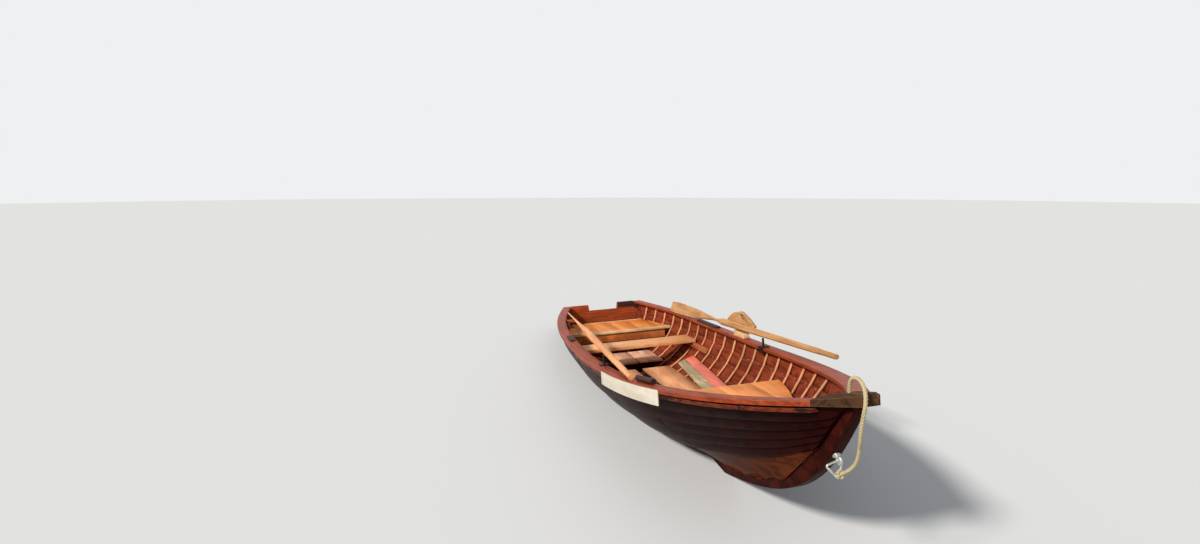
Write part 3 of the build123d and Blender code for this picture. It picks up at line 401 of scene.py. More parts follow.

# %% [markdown]
# A thin dark sheet is folded over the top of the transom on the port side: partly a pad against
# rubbing, partly painted shade on that shoulder of the transom. A block would not follow the curved
# top, so the edge's height is measured at each station by rays, and a thin section is bent over it
# there: up the inner face, over the corner and aft across the top. Its lower edge is a little ragged.

# %% Pad and painted shade on the transom's top
PAD_SIDES = (0.160, 0.372)
PAD_STATIONS = 14
PAD_SHELL = 0.005
PAD_INSIDE = 0.048
PAD_ACROSS = 0.018
FOLD_DROP = 0.003
FOLD_ROUND = 0.001
CORNER_DEPTH = 0.006
TOP_SHARES = (0.3, 0.5, 0.7, 0.9)
RAGGED_WAVES = ((0.002, 9.0, 0.0), (0.0015, 4.3, 1.0))
INSIDE_BOAT = -1.5
ABOVE_BOAT = 1.0
AFT = Vector((-1.0, 0.0, 0.0))
DOWN = Vector((0.0, 0.0, -1.0))

transom_tree = surface_tree(["transom"])
transom_low, transom_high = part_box("transom")
transom_depth = transom_high.x - transom_low.x


def transom_hit(start, direction):
    """Where a ray meets the transom, or nothing where it misses."""
    return transom_tree.ray_cast(Vector(start), direction)[0]


def pad_section(station):
    """The pad's outline at one station."""
    y = PAD_SIDES[0] + (PAD_SIDES[1] - PAD_SIDES[0]) * station / PAD_STATIONS
    tops = [transom_hit((transom_low.x + transom_depth * s, y, ABOVE_BOAT), DOWN) for s in TOP_SHARES]
    top = max(place.z for place in tops if place)
    corner = transom_hit((INSIDE_BOAT, y, top - CORNER_DEPTH), AFT).x
    low_face = transom_hit((INSIDE_BOAT, y, top - PAD_INSIDE), AFT).x
    ragged = sum(size * math.sin(rate * station + start) for size, rate, start in RAGGED_WAVES)
    low = top - PAD_INSIDE + ragged
    folds = (
        (low_face, low), (low_face + PAD_SHELL, low), (corner + PAD_SHELL, top - FOLD_DROP),
        (corner + FOLD_ROUND, top + PAD_SHELL - FOLD_ROUND), (corner - PAD_ACROSS, top + PAD_SHELL),
        (corner - PAD_ACROSS, top), (corner, top),
    )
    return [Vector((x, y, z)) for x, z in folds]


# The dark sheet stands partly for shade on the transom's port shoulder.
sections = [pad_section(station) for station in range(PAD_STATIONS + 1)]
pad_faces = rod_faces(len(sections), len(sections[0]))
transom_pad_and_shade = new_piece("transom_top_pad_and_shade", sum(sections, []), pad_faces, slot="dark_pad", smooth=False)
print("pad", [round(v, 3) for v in transom_pad_and_shade.dimensions])

# %% [markdown]
# Finishes and lights are trees of nodes. Written out link by link they are long, so a thin wrapper
# adds a node and fills its sockets by name in one line. A value may be a number, a socket or a whole
# node, whose first output is then used.

# %% Node wrapper
MIX_SOCKETS = {"RGBA": (0, 6, 7, 2), "FLOAT": (0, 2, 3, 0)}


class Nodes:
    """Adds nodes to a tree and links them by the names of their sockets."""

    def __init__(self, node_tree):
        self.tree = node_tree

    def add(self, kind, settings=None, **inputs):
        node = self.tree.nodes.new(kind)
        for key, value in (settings or {}).items():
            setattr(node, key, value)
        for key, value in inputs.items():
            self.feed(node.inputs[key.replace("_", " ")], value)
        return node

    def feed(self, socket, value):
        if isinstance(value, bpy.types.NodeSocket):
            self.tree.links.new(value, socket)
        elif isinstance(value, bpy.types.Node):
            self.tree.links.new(value.outputs[0], socket)
        else:
            socket.default_value = value

    def fill(self, node, *values):
        """Feed a node's sockets in their order."""
        for socket, value in zip(node.inputs, values):
            self.feed(socket, value)
        return node

    def math(self, operation, *values, clamp=False):
        node = self.add("ShaderNodeMath", {"operation": operation, "use_clamp": clamp})
        return self.fill(node, *values).outputs[0]

    def ramp(self, value, low, high, to_low=0.0, to_high=1.0):
        """A soft step between two values, held level below and above them."""
        node = self.add("ShaderNodeMapRange", {"clamp": True, "interpolation_type": "SMOOTHSTEP"})
        return self.fill(node, value, low, high, to_low, to_high).outputs[0]

    def vector(self, operation, a, b):
        node = self.fill(self.add("ShaderNodeVectorMath", {"operation": operation}), a)
        self.feed(node.inputs["Scale" if operation == "SCALE" else 1], b)
        return node.outputs["Value" if operation == "DOT_PRODUCT" else "Vector"]

    def mix(self, share, a, b, blend="MIX", kind="RGBA"):
        """A blend of two colours, or of two values where the kind is FLOAT."""
        settings = {"data_type": kind, "blend_type": blend, "clamp_factor": True}
        node = self.add("ShaderNodeMix", settings)
        *numbers, result = MIX_SOCKETS[kind]
        for number, value in zip(numbers, (share, a, b)):
            self.feed(node.inputs[number], value)
        return node.outputs[result]

    def weighted(self, a, weight_a, b, weight_b):
        """The sum of two values, each times its weight."""
        return self.math("ADD", self.math("MULTIPLY", a, weight_a), self.math("MULTIPLY", b, weight_b))

    def noise(self, place, scale, detail, roughness=0.5, **more):
        made = self.add("ShaderNodeTexNoise", Vector=place, Scale=scale, Detail=detail, **more)
        made.inputs["Roughness"].default_value = roughness
        return made.outputs["Fac"]

    def place(self):
        return self.add("ShaderNodeTexCoord").outputs["Object"]

    def shown_apart(self, lit, shown):
        """One shader for the light that reaches the boat, another for camera and glossy rays."""
        paths = self.add("ShaderNodeLightPath").outputs
        seen = self.math("MAXIMUM", paths["Is Camera Ray"], paths["Is Glossy Ray"])
        return self.fill(self.add("ShaderNodeMixShader"), seen, lit, shown)


# %% [markdown]
# The light is a plain studio: an even pale world and one broad sun-like lamp from the starboard bow,
# where the real sun stood, wide enough to soften the shadows of the seats and oars. Area lamps would
# fall off along a boat this long; suns don't. A weak second lamp keeps the shaded planks readable,
# and the camera and glossy rays see a paler background than the one that gives the light.

# %% World and lamps
WORLD_COLOUR = (0.93, 0.96, 1.0, 1.0)
WORLD_STRENGTH = 0.30
BACKGROUND = (0.86, 0.87, 0.88, 1.0)
SUN_FROM = Vector((0.63, -1.0, 0.82))
SUN_COLOUR = (1.0, 0.96, 0.90)
SUN_STRENGTH = 3.4
SUN_SOFTNESS = 8.0
FILL_FROM = Vector((0.9, 1.0, 1.3))
FILL_COLOUR = (0.92, 0.96, 1.0)
FILL_STRENGTH = 0.25
FILL_SOFTNESS = 60.0

world = bpy.data.worlds.new("studio")
bpy.context.scene.world = world
world.use_nodes = True
world.node_tree.nodes.clear()
g = Nodes(world.node_tree)
lighting = g.add("ShaderNodeBackground", Color=WORLD_COLOUR, Strength=WORLD_STRENGTH)
backdrop = g.add("ShaderNodeBackground", Color=BACKGROUND, Strength=1.0)
g.add("ShaderNodeOutputWorld", Surface=g.shown_apart(lighting, backdrop))


def lamp(name, towards, strength, softness, tint):
    """A sun lamp; softness is the angle in degrees that it fills in the sky."""
    data = bpy.data.lights.new(name, "SUN")
    data.energy = strength
    data.angle = math.radians(softness)
    data.color = tint
    holder = bpy.data.objects.new(name, data)
    holder.rotation_mode = "QUATERNION"
    holder.rotation_quaternion = towards.to_track_quat("Z", "Y")
    bpy.context.scene.collection.objects.link(holder)


lamp("key", SUN_FROM, SUN_STRENGTH, SUN_SOFTNESS, SUN_COLOUR)
lamp("fill", FILL_FROM, FILL_STRENGTH, FILL_SOFTNESS, FILL_COLOUR)
bpy.context.scene.view_settings.view_transform = "Standard"

# %% [markdown]
# The effects that several finishes share are shader node groups, each built once: wood grain, worn
# edges, patches of weathering, painted shade with dirt in corners and the stain of old water. A group
# has named sockets, so a material places it with its own amounts. Grain and patches both run along
# the wood, so one function moves and stretches the place that their noises read. A noise seldom
# leaves NOISE_RANGE.

# %% Groups, places and colours
SOCKET_TYPES = {"value": "NodeSocketFloat", "vector": "NodeSocketVector"}
NOISE_RANGE = (0.3, 0.7)


def group(name, inputs, outputs):
    """A new shader node group with named sockets, and its inner input and output sockets."""
    made = bpy.data.node_groups.new(name, "ShaderNodeTree")
    for key, (kind, value) in inputs.items():
        socket = made.interface.new_socket(name=key, in_out="INPUT", socket_type=SOCKET_TYPES[kind])
        socket.default_value = value
    for key in outputs:
        made.interface.new_socket(name=key, in_out="OUTPUT", socket_type=SOCKET_TYPES["value"])
    inner = Nodes(made)
    return made, inner, inner.add("NodeGroupInput").outputs, inner.add("NodeGroupOutput").inputs


def place_along(g, given):
    """Object coordinates, moved by the seed and stretched along the wood."""
    shift = g.add("ShaderNodeCombineXYZ", X=given["Seed"], Y=given["Seed"], Z=given["Seed"])
    return g.vector("MULTIPLY", g.vector("ADD", g.place(), shift), given["Stretch"])


def colour(hex_code):
    """A colour written as on the screen, as the linear values that shaders take."""
    parts = [int(hex_code[i:i + 2], 16) / 255 for i in (0, 2, 4)]
    return (*[c / 12.92 if c <= 0.04045 else ((c + 0.055) / 1.055) ** 2.4 for c in parts], 1.0)


# %% [markdown]
# Sawn and varnished pine shows long streaks of summer and winter growth with fine fibres between
# them. A photograph of wood would repeat and has to be unwrapped; noise stretched along the plank
# needs neither. A slow noise is folded into rings by a sine, and a fast one gives the fibres. Object
# coordinates are real metres, so the grain has its real size.

# %% Wood grain group
STREAK_CONTRAST = 1.6
STREAK_RELIEF = 0.4
FIBRE_RELIEF = 0.6

grain_group, g, given, out = group(
    "wood grain",
    {"Stretch": ("vector", (1.2, 14.0, 14.0)), "Rings": ("value", 9.0), "Seed": ("value", 0.0)},
    ("Streaks", "Fibres", "Height"),
)
along = place_along(g, given)
slow = g.noise(along, scale=1.0, detail=4.0, roughness=0.55, Distortion=0.35)
fast = g.noise(along, scale=9.0, detail=5.0, roughness=0.65)
wave = g.math("SINE", g.math("MULTIPLY", g.math("MULTIPLY", slow, given["Rings"]), math.tau))
streaks = g.math("ADD", g.math("MULTIPLY", wave, 0.5), 0.5)
fibres = g.ramp(fast, *NOISE_RANGE)
g.feed(out["Streaks"], g.math("POWER", streaks, STREAK_CONTRAST))
g.feed(out["Fibres"], fibres)
g.feed(out["Height"], g.weighted(streaks, STREAK_RELIEF, fibres, FIBRE_RELIEF))
print(grain_group.name, len(grain_group.nodes), "nodes")

# %% [markdown]
# Varnish goes first where hands and ropes rub, on the edges. Painting that wear by hand would tie it
# to one shape. The Bevel node compares the rounded normal with the real one, which marks each edge
# of any shape, and noise breaks that mark up into chips.

# %% Worn edges group
BEND_RANGE = (0.01, 0.16)
CHIP_RANGE = (0.52, 0.72)
AMOUNT_SHIFT = 0.35

edge_group, g, given, out = group(
    "worn edges",
    {"Width": ("value", 0.004), "Chips": ("value", 45.0), "Amount": ("value", 0.6)},
    ("Mask",),
)
rounded = g.add("ShaderNodeBevel", {"samples": 6}, Radius=given["Width"])
real_normal = g.add("ShaderNodeNewGeometry").outputs["Normal"]
bend = g.math("SUBTRACT", 1.0, g.vector("DOT_PRODUCT", rounded, real_normal))
chips = g.noise(g.place(), scale=given["Chips"], detail=5.0, roughness=0.7)
shifted = g.math("ADD", chips, g.math("MULTIPLY", given["Amount"], AMOUNT_SHIFT))
g.feed(out["Mask"], g.math("MULTIPLY", g.ramp(bend, *BEND_RANGE), g.ramp(shifted, *CHIP_RANGE)))
print(edge_group.name, len(edge_group.nodes), "nodes")

# %% [markdown]
# Whole patches of a rail or a board lose their varnish to sun and rain. One noise gives round blots;
# two of different size, added and cut off softly, give patches with ragged rims, as real flaking
# has. Coverage moves the cut.

# %% Weathered patches group
LARGE_SHARE = 0.75
SMALL_SHARE = 0.25
CUT_AT_NO_COVERAGE = 0.74
COVERAGE_SHIFT = 0.5
PATCH_RIM = 0.07

patch_group, g, given, out = group(
    "weathered patches",
    {"Stretch": ("vector", (1.5, 6.0, 6.0)), "Size": ("value", 3.0), "Coverage": ("value", 0.4),
     "Seed": ("value", 0.0)},
    ("Mask", "Mottle"),
)
along = place_along(g, given)
large = g.noise(along, scale=given["Size"], detail=6.0, roughness=0.62)
small = g.noise(along, scale=38.0, detail=4.0, roughness=0.6)
both = g.weighted(large, LARGE_SHARE, small, SMALL_SHARE)
cut = g.math("SUBTRACT", CUT_AT_NO_COVERAGE, g.math("MULTIPLY", given["Coverage"], COVERAGE_SHIFT))
g.feed(out["Mask"], g.ramp(both, cut, g.math("ADD", cut, PATCH_RIM)))
g.feed(out["Mottle"], g.ramp(large, *NOISE_RANGE))
print(patch_group.name, len(patch_group.nodes), "nodes")

# %% [markdown]
# Where planks meet the finishes are darkened: partly dirt and old varnish, partly painted shade in the
# corners and under the laps. Ambient occlusion over a short distance finds those places from the
# shape itself, and noise keeps the line uneven.

# %% Painted shade and dirt in corners group
SHUT_RANGE = (0.25, 0.85)
UNEVEN_RANGE = (0.25, 0.6, 0.55, 1.0)

shade_and_dirt_group, g, given, out = group(
    "painted shade and dirt in corners",
    {"Reach": ("value", 0.03), "Amount": ("value", 0.7)},
    ("Mask",),
)
hidden = g.add("ShaderNodeAmbientOcclusion", {"samples": 6}, Distance=given["Reach"])
shut = g.ramp(g.math("SUBTRACT", 1.0, hidden.outputs["AO"]), *SHUT_RANGE)
uneven = g.ramp(g.noise(g.place(), scale=16.0, detail=4.0), *UNEVEN_RANGE)
# Painted shade with dirt: the mask darkens the shut-in places.
shade_and_dirt = g.math("MULTIPLY", shut, uneven)
g.feed(out["Mask"], g.math("MULTIPLY", shade_and_dirt, given["Amount"], clamp=True))
print(shade_and_dirt_group.name, len(shade_and_dirt_group.nodes), "nodes")

# %% [markdown]
# Below the waterline the planks are stained by peaty water and slime, an olive-brown tint that fades
# upward. A straight line would look masked off, so the height above the floor's plane drives the
# tint and noise breaks its rim, which then looks washed.

# %% Water stain group
LAP_HEIGHT = 0.09

stain_group, g, given, out = group(
    "water stain",
    {"Low": ("value", -0.02), "High": ("value", 0.10)},
    ("Mask",),
)
place = g.place()
height = g.vector("DOT_PRODUCT", place, tuple(FLOOR_NORMAL))
lapping = g.math("SUBTRACT", g.noise(place, scale=7.0, detail=5.0, roughness=0.6), 0.5)
level = g.math("ADD", height, g.math("MULTIPLY", lapping, LAP_HEIGHT))
g.feed(out["Mask"], g.math("SUBTRACT", 1.0, g.ramp(level, given["Low"], given["High"])))
print(stain_group.name, len(stain_group.nodes), "nodes")

# %% [markdown]
# Nearly every surface is varnished softwood, so one function builds that finish and each wood gives
# it its own colours and amounts. The shader itself stays in the material: the groups only hand it
# colours and masks. Pale and deep are the two tones of the grain, worn is the bare weathered wood,
# and edge is what shows where the varnish has been rubbed off.

# %% Varnished wood
ALONG = (1.1, 15.0, 15.0)
ACROSS = (16.0, 1.4, 3.0)
BENT = (30.0, 2.2, 2.2)
FIBRE_TINT = (0.72, 0.66, 0.6, 1.0)
FIBRE_SHARE = 0.22
SHADE_AND_DIRT_TINT = (0.32, 0.24, 0.2, 1.0)
MOTTLE_SHADES = (0.82, 1.12)
PATCH_STRETCH = 0.28
PATCH_SEED_SHIFT = 3.0
PATCH_ROUGHNESS = 0.3
FIBRE_ROUGHNESS = 0.08
VARNISH_IOR = 1.3
COAT_ROUGHNESS = 0.22
GRAIN_DEPTH = 0.001


def use(g, node_group, **inputs):
    """Place a group in a material with its own amounts."""
    node = g.add("ShaderNodeGroup", {"node_tree": node_group})
    for key, value in inputs.items():
        g.feed(node.inputs[key], value)
    return node.outputs


def start_material(name):
    """An empty material with a shader that is linked to its output."""
    made = bpy.data.materials.new(name)
    made.use_nodes = True
    made.node_tree.nodes.clear()
    g = Nodes(made.node_tree)
    shader = g.add("ShaderNodeBsdfPrincipled")
    g.add("ShaderNodeOutputMaterial", Surface=shader)
    return made, g, shader


def bump(g, shader, height, strength, distance=GRAIN_DEPTH):
    node = g.add("ShaderNodeBump", Height=height, Strength=strength, Distance=distance)
    g.feed(shader.inputs["Normal"], node)


def wood_colour(g, pale, deep, worn, edge="d9b48c", stretch=ALONG, rings=7.0, seed=0.0, coverage=0.25,
                wear=0.5, contrast=0.7):
    """The tone of grain, patches, chipped edges, painted corner shade and grime; roughness; grain height.
    """
    grain = use(g, grain_group, Stretch=stretch, Rings=rings, Seed=seed)
    patch_stretch = tuple(max(v * PATCH_STRETCH, 1.0) for v in stretch)
    patches = use(g, patch_group, Stretch=patch_stretch, Coverage=coverage, Seed=seed + PATCH_SEED_SHIFT)
    tone = g.mix(g.math("MULTIPLY", grain["Streaks"], contrast), colour(pale), colour(deep))
    fibrous = g.mix(1.0, tone, FIBRE_TINT, "MULTIPLY")
    tone = g.mix(g.math("MULTIPLY", grain["Fibres"], FIBRE_SHARE), tone, fibrous)
    tone = g.vector("SCALE", tone, g.ramp(patches["Mottle"], 0.0, 1.0, *MOTTLE_SHADES))
    tone = g.mix(patches["Mask"], tone, colour(worn))
    tone = g.mix(use(g, edge_group, Amount=wear)["Mask"], tone, colour(edge))
    # Painted shade: corners and the undersides of laps are darkened, partly as grime.
    tone = g.mix(use(g, shade_and_dirt_group)["Mask"], tone, g.mix(1.0, tone, SHADE_AND_DIRT_TINT, "MULTIPLY"))
    rough = g.weighted(patches["Mask"], PATCH_ROUGHNESS, grain["Fibres"], FIBRE_ROUGHNESS)
    return tone, rough, grain["Height"]


def varnished(name, gloss=0.4, coat=0.06, relief=0.35, shine=0.18, **wood):
    """A varnished wood; gloss is its least roughness."""
    made, g, shader = start_material(name)
    tone, rough, height = wood_colour(g, **wood)
    g.feed(shader.inputs["Base Color"], tone)
    g.feed(shader.inputs["Roughness"], g.math("ADD", rough, gloss, clamp=True))
    shader.inputs["IOR"].default_value = VARNISH_IOR
    shader.inputs["Specular IOR Level"].default_value = shine
    shader.inputs["Coat Weight"].default_value = coat
    shader.inputs["Coat Roughness"].default_value = COAT_ROUGHNESS
    bump(g, shader, height, relief)
    return made


# %% [markdown]
# The planking is the one wood with two faces. Outside it is almost black, partly with old tar and
# varnish and partly as painted shade; inside it is redder and drier, with painted sunlight. Two
# materials would need the planks' faces sorted.
# One material can tell the sides apart by the plank's own normal, which points away from the
# centreline or down on the outside. The water's stain colours the lower planks.

# %% Planking
# Painted light: the outside tones are partly tar and varnish and partly painted shade; the inside tones
# hold painted sunlight.
OUTSIDE_TAR_AND_SHADE = {"pale": "2c0c0a", "deep": "1a0605", "worn": "4a140f", "edge": "4a2018", "rings": 4.0,
           "coverage": 0.22, "wear": 0.4, "contrast": 0.6}
INSIDE_SUNLIT = {"pale": "8e3f28", "deep": "5f2417", "worn": "8f5238", "edge": "d99a78", "rings": 5.0,
          "coverage": 0.2, "wear": 0.95, "contrast": 0.75}
GARBOARD = {**OUTSIDE_TAR_AND_SHADE, "pale": "5a2a10", "deep": "341408", "worn": "70401a"}
DOWNWARD_WEIGHT = 1.2
OUT_SIDE_RANGE = (-0.9, -0.75)
STAIN_SHARE = 0.85
ROUGHNESS_OUTSIDE = 0.3
ROUGHNESS_INSIDE = 0.42
OUTSIDE_UNEVENNESS = 0.6
PLANK_IOR = 1.2
PLANK_SHINE = 0.05
PLANK_RELIEF = 0.3


def planking(name, outside, stain, stain_low, stain_high, seed):
    """The finish of one colour of planks, stained between two heights."""
    made, g, shader = start_material(name)
    coordinates = g.add("ShaderNodeTexCoord").outputs
    normal = g.add("ShaderNodeSeparateXYZ", Vector=coordinates["Normal"]).outputs
    place = g.add("ShaderNodeSeparateXYZ", Vector=coordinates["Object"]).outputs
    outboard = g.math("MULTIPLY", normal["Y"], g.math("SIGN", place["Y"]))
    away = g.math("SUBTRACT", outboard, g.math("MULTIPLY", normal["Z"], DOWNWARD_WEIGHT))
    out_side = g.ramp(away, *OUT_SIDE_RANGE)
    red, red_rough, height = wood_colour(g, seed=seed, **INSIDE_SUNLIT)
    black, black_rough, _ = wood_colour(g, seed=seed, **outside)
    wet = use(g, stain_group, Low=stain_low, High=stain_high)
    black = g.mix(g.math("MULTIPLY", wet["Mask"], STAIN_SHARE), black, colour(stain))
    # The two sides are lit and shaded tones of one wood: painted sunlight inside, painted shade outside.
    g.feed(shader.inputs["Base Color"], g.mix(out_side, red, black))
    rough_out = g.math("ADD", g.math("MULTIPLY", black_rough, OUTSIDE_UNEVENNESS), ROUGHNESS_OUTSIDE)
    rough_in = g.math("ADD", red_rough, ROUGHNESS_INSIDE)
    g.feed(shader.inputs["Roughness"], g.mix(out_side, rough_in, rough_out, kind="FLOAT"))
    shader.inputs["IOR"].default_value = PLANK_IOR
    shader.inputs["Specular IOR Level"].default_value = PLANK_SHINE
    bump(g, shader, height, PLANK_RELIEF)
    return made


planks = planking("planking", OUTSIDE_TAR_AND_SHADE, "5a2a12", stain_low=-0.06, stain_high=0.04, seed=1.0)
garboards = planking("garboard planking", GARBOARD, "6e4c1c", stain_low=-0.1, stain_high=0.1, seed=2.0)
print("planking finishes", planks.name, garboards.name)

# %% [markdown]
# The other woods are rows of one table: two tones, then what differs from a plain varnished board.
# Seats are bright new varnish, floorboards peach and scuffed, rails worn to dark wood in places, and
# the stem head quite bare. The keel and stem are darkened with painted shade, the aft floorboards are
# paler with painted sunlight, and the forward seat's pale edges are partly painted highlights. A
# row's place in the table gives its seed, so no two share a pattern.

# %% Woods of the boat
OAR_GRAIN = (0.8, 26.0, 26.0)
TRANSOM_GRAIN = (15.0, 1.2, 15.0)
UPRIGHT_GRAIN = (3.0, 30.0, 3.0)
FIRST_SEED = 4
WOOD_ROWS = {
    # Painted shade: the keel's and stem's near-black tones are partly the wood's dark finish, partly shade
    # on the stem's front.
    "backbone with painted shade": dict(pale="40140c", deep="200806", worn="55281a", coverage=0.2, stretch=UPRIGHT_GRAIN,
                     coat=0.0, shine=0.03),
    "stem head": dict(pale="553a26", deep="2a1a12", worn="8a7860", edge="7c6448", coverage=0.34,
                      wear=0.9, gloss=0.7, coat=0.0, relief=0.8),
    "rail cap": dict(pale="a44524", deep="7a2d16", worn="683c2a", edge="e0a880", coverage=0.24, wear=0.8),
    "outwale": dict(pale="7e341a", deep="4a1a0e", worn="28120c", edge="a05c3a", coverage=0.5, wear=0.7),
    "transom": dict(pale="b8552f", deep="8c381c", worn="5e2a1a", stretch=TRANSOM_GRAIN),
    "ribs": dict(pale="eda878", deep="cf8052", worn="8c5a40", edge="f0c8a0", coverage=0.2, stretch=BENT,
                 wear=0.8, contrast=0.5),
    "stern seat": dict(pale="f59548", deep="e07a30", worn="c98a58", coverage=0.12, contrast=0.55),
    "seat edges": dict(pale="ead2a4", deep="d8b078", worn="a58a66", stretch=ACROSS, coverage=0.2),
    "apron": dict(pale="c9763f", deep="9c5228", worn="6d5a48", stretch=ACROSS, coverage=0.3),
    "rowing seat": dict(pale="fcba82", deep="f2a062", worn="cfa078", stretch=ACROSS, coverage=0.15,
                        contrast=0.6),
    # Painted highlight: the forward seat's pale edge tone at full wear stands partly for light caught on
    # its seams, partly for rubbed varnish.
    "bow seat with painted highlights": dict(pale="fba25e", deep="f0883f", worn="e8a070", edge="ffd8b0", wear=1.0, coverage=0.12,
                     contrast=0.5),
    "seat framing": dict(pale="b3623a", deep="86401f", worn="6b4a38", coverage=0.3),
    "floor boards": dict(pale="fbb886", deep="ee9c68", worn="f0c4a4", coverage=0.28, gloss=0.5, coat=0.08),
    # Painted light: the aft floorboards' paler tones are partly painted sunlight, set against the shade
    # the stern seat casts.
    "aft floor boards with painted light": dict(pale="fcc8a6", deep="eaa880", worn="f8dcc8", coverage=0.42, gloss=0.55,
                             coat=0.05),
    "floor bearers": dict(pale="5c3522", deep="3a2015", worn="4a3a2e", stretch=ACROSS, coverage=0.4,
                          gloss=0.6, coat=0.0),
    "grey plank": dict(pale="b9a684", deep="9a8664", worn="d2c2a0", edge="e6d8b4", coverage=0.4,
                       gloss=0.75, coat=0.0, relief=0.8),
    "red plank": dict(pale="ee8270", deep="da6a56", worn="e8a292", edge="e8b09c", coverage=0.2, gloss=0.5,
                      coat=0.05, contrast=0.5),
    "oars": dict(pale="f6ae76", deep="e28e54", worn="e4c09a", edge="f6d4aa", coverage=0.3,
                 stretch=OAR_GRAIN),
    "port oar": dict(pale="cc9660", deep="ae7442", worn="c09c74", edge="ecc898", coverage=0.38,
                     stretch=OAR_GRAIN),
    "oar block": dict(pale="efc79c", deep="dba876", worn="b59a80"),
}
WOODS = {}
for seed, (name, row) in enumerate(WOOD_ROWS.items(), FIRST_SEED):
    WOODS[name] = varnished(name, seed=float(seed), **row)
print(len(WOODS), "woods")

# %% [markdown]
# The rest isn't varnished wood. The name board is white paint that has yellowed and chipped at its
# edges; the pads are dark and rubbery with fine ridges, and their darkness is partly painted shade.
# Each could have noises of its own, but both take their patches from the same group as the woods,
# so that the whole boat has aged together.

# %% Paint and pads
PAINT_PATCH_SHARE = 0.6
PAD_PATCH_SHARE = 0.5


def painted_board():
    made, g, shader = start_material("white paint")
    patches = use(g, patch_group, Stretch=(2.0, 4.0, 9.0), Size=2.6, Coverage=0.22)
    tone = g.mix(patches["Mottle"], colour("e6ddcb"), colour("d3c6b0"))
    tone = g.mix(g.math("MULTIPLY", patches["Mask"], PAINT_PATCH_SHARE), tone, colour("b9a98e"))
    tone = g.mix(use(g, edge_group, Amount=0.8)["Mask"], tone, colour("7d6a54"))
    g.feed(shader.inputs["Base Color"], tone)
    g.feed(shader.inputs["Roughness"], g.ramp(patches["Mottle"], 0.0, 1.0, to_low=0.32, to_high=0.5))
    bump(g, shader, patches["Mottle"], strength=0.15)
    return made


def dark_pad():
    made, g, shader = start_material("dark pad and painted shade")
    patches = use(g, patch_group, Stretch=(9.0, 9.0, 9.0), Size=2.0, Coverage=0.3)
    grain = use(g, grain_group, Stretch=(3.0, 40.0, 40.0), Rings=3.0)
    # Painted shade: these dark tones stand partly for shade on the pads.
    tone = g.mix(patches["Mottle"], colour("2c1712"), colour("3d241b"))
    tone = g.mix(g.math("MULTIPLY", patches["Mask"], PAD_PATCH_SHARE), tone, colour("5a4236"))
    g.feed(shader.inputs["Base Color"], tone)
    shader.inputs["Roughness"].default_value = 0.62
    shader.inputs["Specular IOR Level"].default_value = 0.3
    bump(g, shader, grain["Height"], strength=0.4)
    return made


# %% [markdown]
# Iron, steel and copper weather in patches too: rust or tarnish is the patch mask over two tones of
# clean metal, and where it lies the surface is rough and no metal. Galvanised steel is pale with a
# grey bloom. The rope's strands are real geometry, so its fibre only needs fine hairs, a little
# soiling, and painted shade in the hollows between the strands.

# %% Metals and rope
RUST_ROUGHNESS = 0.85
RUST_RELIEF = 0.3
HAIR_DEPTH = 0.0006
SOIL_RANGE = (0.5, 0.75)
SOIL_SHARE = 0.5


def metal(name, clean, dull, rust, cover, metallic, roughness):
    """A metal of two tones, with rust over a share of it."""
    made, g, shader = start_material(name)
    patches = use(g, patch_group, Stretch=(30.0, 30.0, 30.0), Size=1.6, Coverage=cover)
    tone = g.mix(patches["Mottle"], colour(clean), colour(dull))
    tone = g.mix(patches["Mask"], tone, colour(rust))
    g.feed(shader.inputs["Base Color"], tone)
    g.feed(shader.inputs["Metallic"], g.ramp(patches["Mask"], 0.0, 1.0, metallic, 0.0))
    g.feed(shader.inputs["Roughness"], g.ramp(patches["Mask"], 0.0, 1.0, roughness, RUST_ROUGHNESS))
    bump(g, shader, patches["Mask"], RUST_RELIEF)
    return made


def rope_fibre():
    made, g, shader = start_material("rope fibre")
    place = g.place()
    hairs = g.noise(place, scale=900.0, detail=3.0, roughness=0.6)
    soiled = g.noise(place, scale=22.0, detail=4.0)
    tone = g.mix(g.ramp(hairs, *NOISE_RANGE), colour("d9cba0"), colour("b29c6c"))
    tone = g.mix(g.ramp(soiled, *SOIL_RANGE, to_high=SOIL_SHARE), tone, colour("877a56"))
    # Painted shade: the hollows between the strands are darkened.
    tone = g.mix(use(g, shade_and_dirt_group, Reach=0.004, Amount=0.8)["Mask"], tone, colour("7c6636"))
    g.feed(shader.inputs["Base Color"], tone)
    shader.inputs["Roughness"].default_value = 0.78
    shader.inputs["Sheen Weight"].default_value = 0.25
    bump(g, shader, hairs, strength=0.5, distance=HAIR_DEPTH)
    return made


STEEL = {"clean": "e4e4dc", "dull": "b8b9b2", "rust": "8a6a4a", "cover": 0.12}
IRON = {"clean": "3a332e", "dull": "241f1c", "rust": "5e3018", "cover": 0.35}
COPPER = {"clean": "b88a66", "dull": "7c5a42", "rust": "4a3020", "cover": 0.3}
OTHERS = {
    "white paint": painted_board(),
    "dark pad and painted shade": dark_pad(),
    "dark iron": metal("dark iron", **IRON, metallic=0.85, roughness=0.5),
    "galvanised steel": metal("galvanised steel", **STEEL, metallic=0.75, roughness=0.38),
    "nail heads": metal("nail heads", **COPPER, metallic=0.9, roughness=0.4),
    "rope fibre": rope_fibre(),
}
FINISHES = {**WOODS, **OTHERS, "planking": planks, "garboard": garboards}
print(len(OTHERS), "other finishes")

# %% [markdown]
# Each node of the boat is matched with its finish by the start of its name. A full list of names
# would be longer, and the longest matching start wins, so one rule can cover a family and another
# can single out a member. The added pieces are few, and are named one by one; the rivets' heads
# outside are as dark with age as iron, so they share its finish.

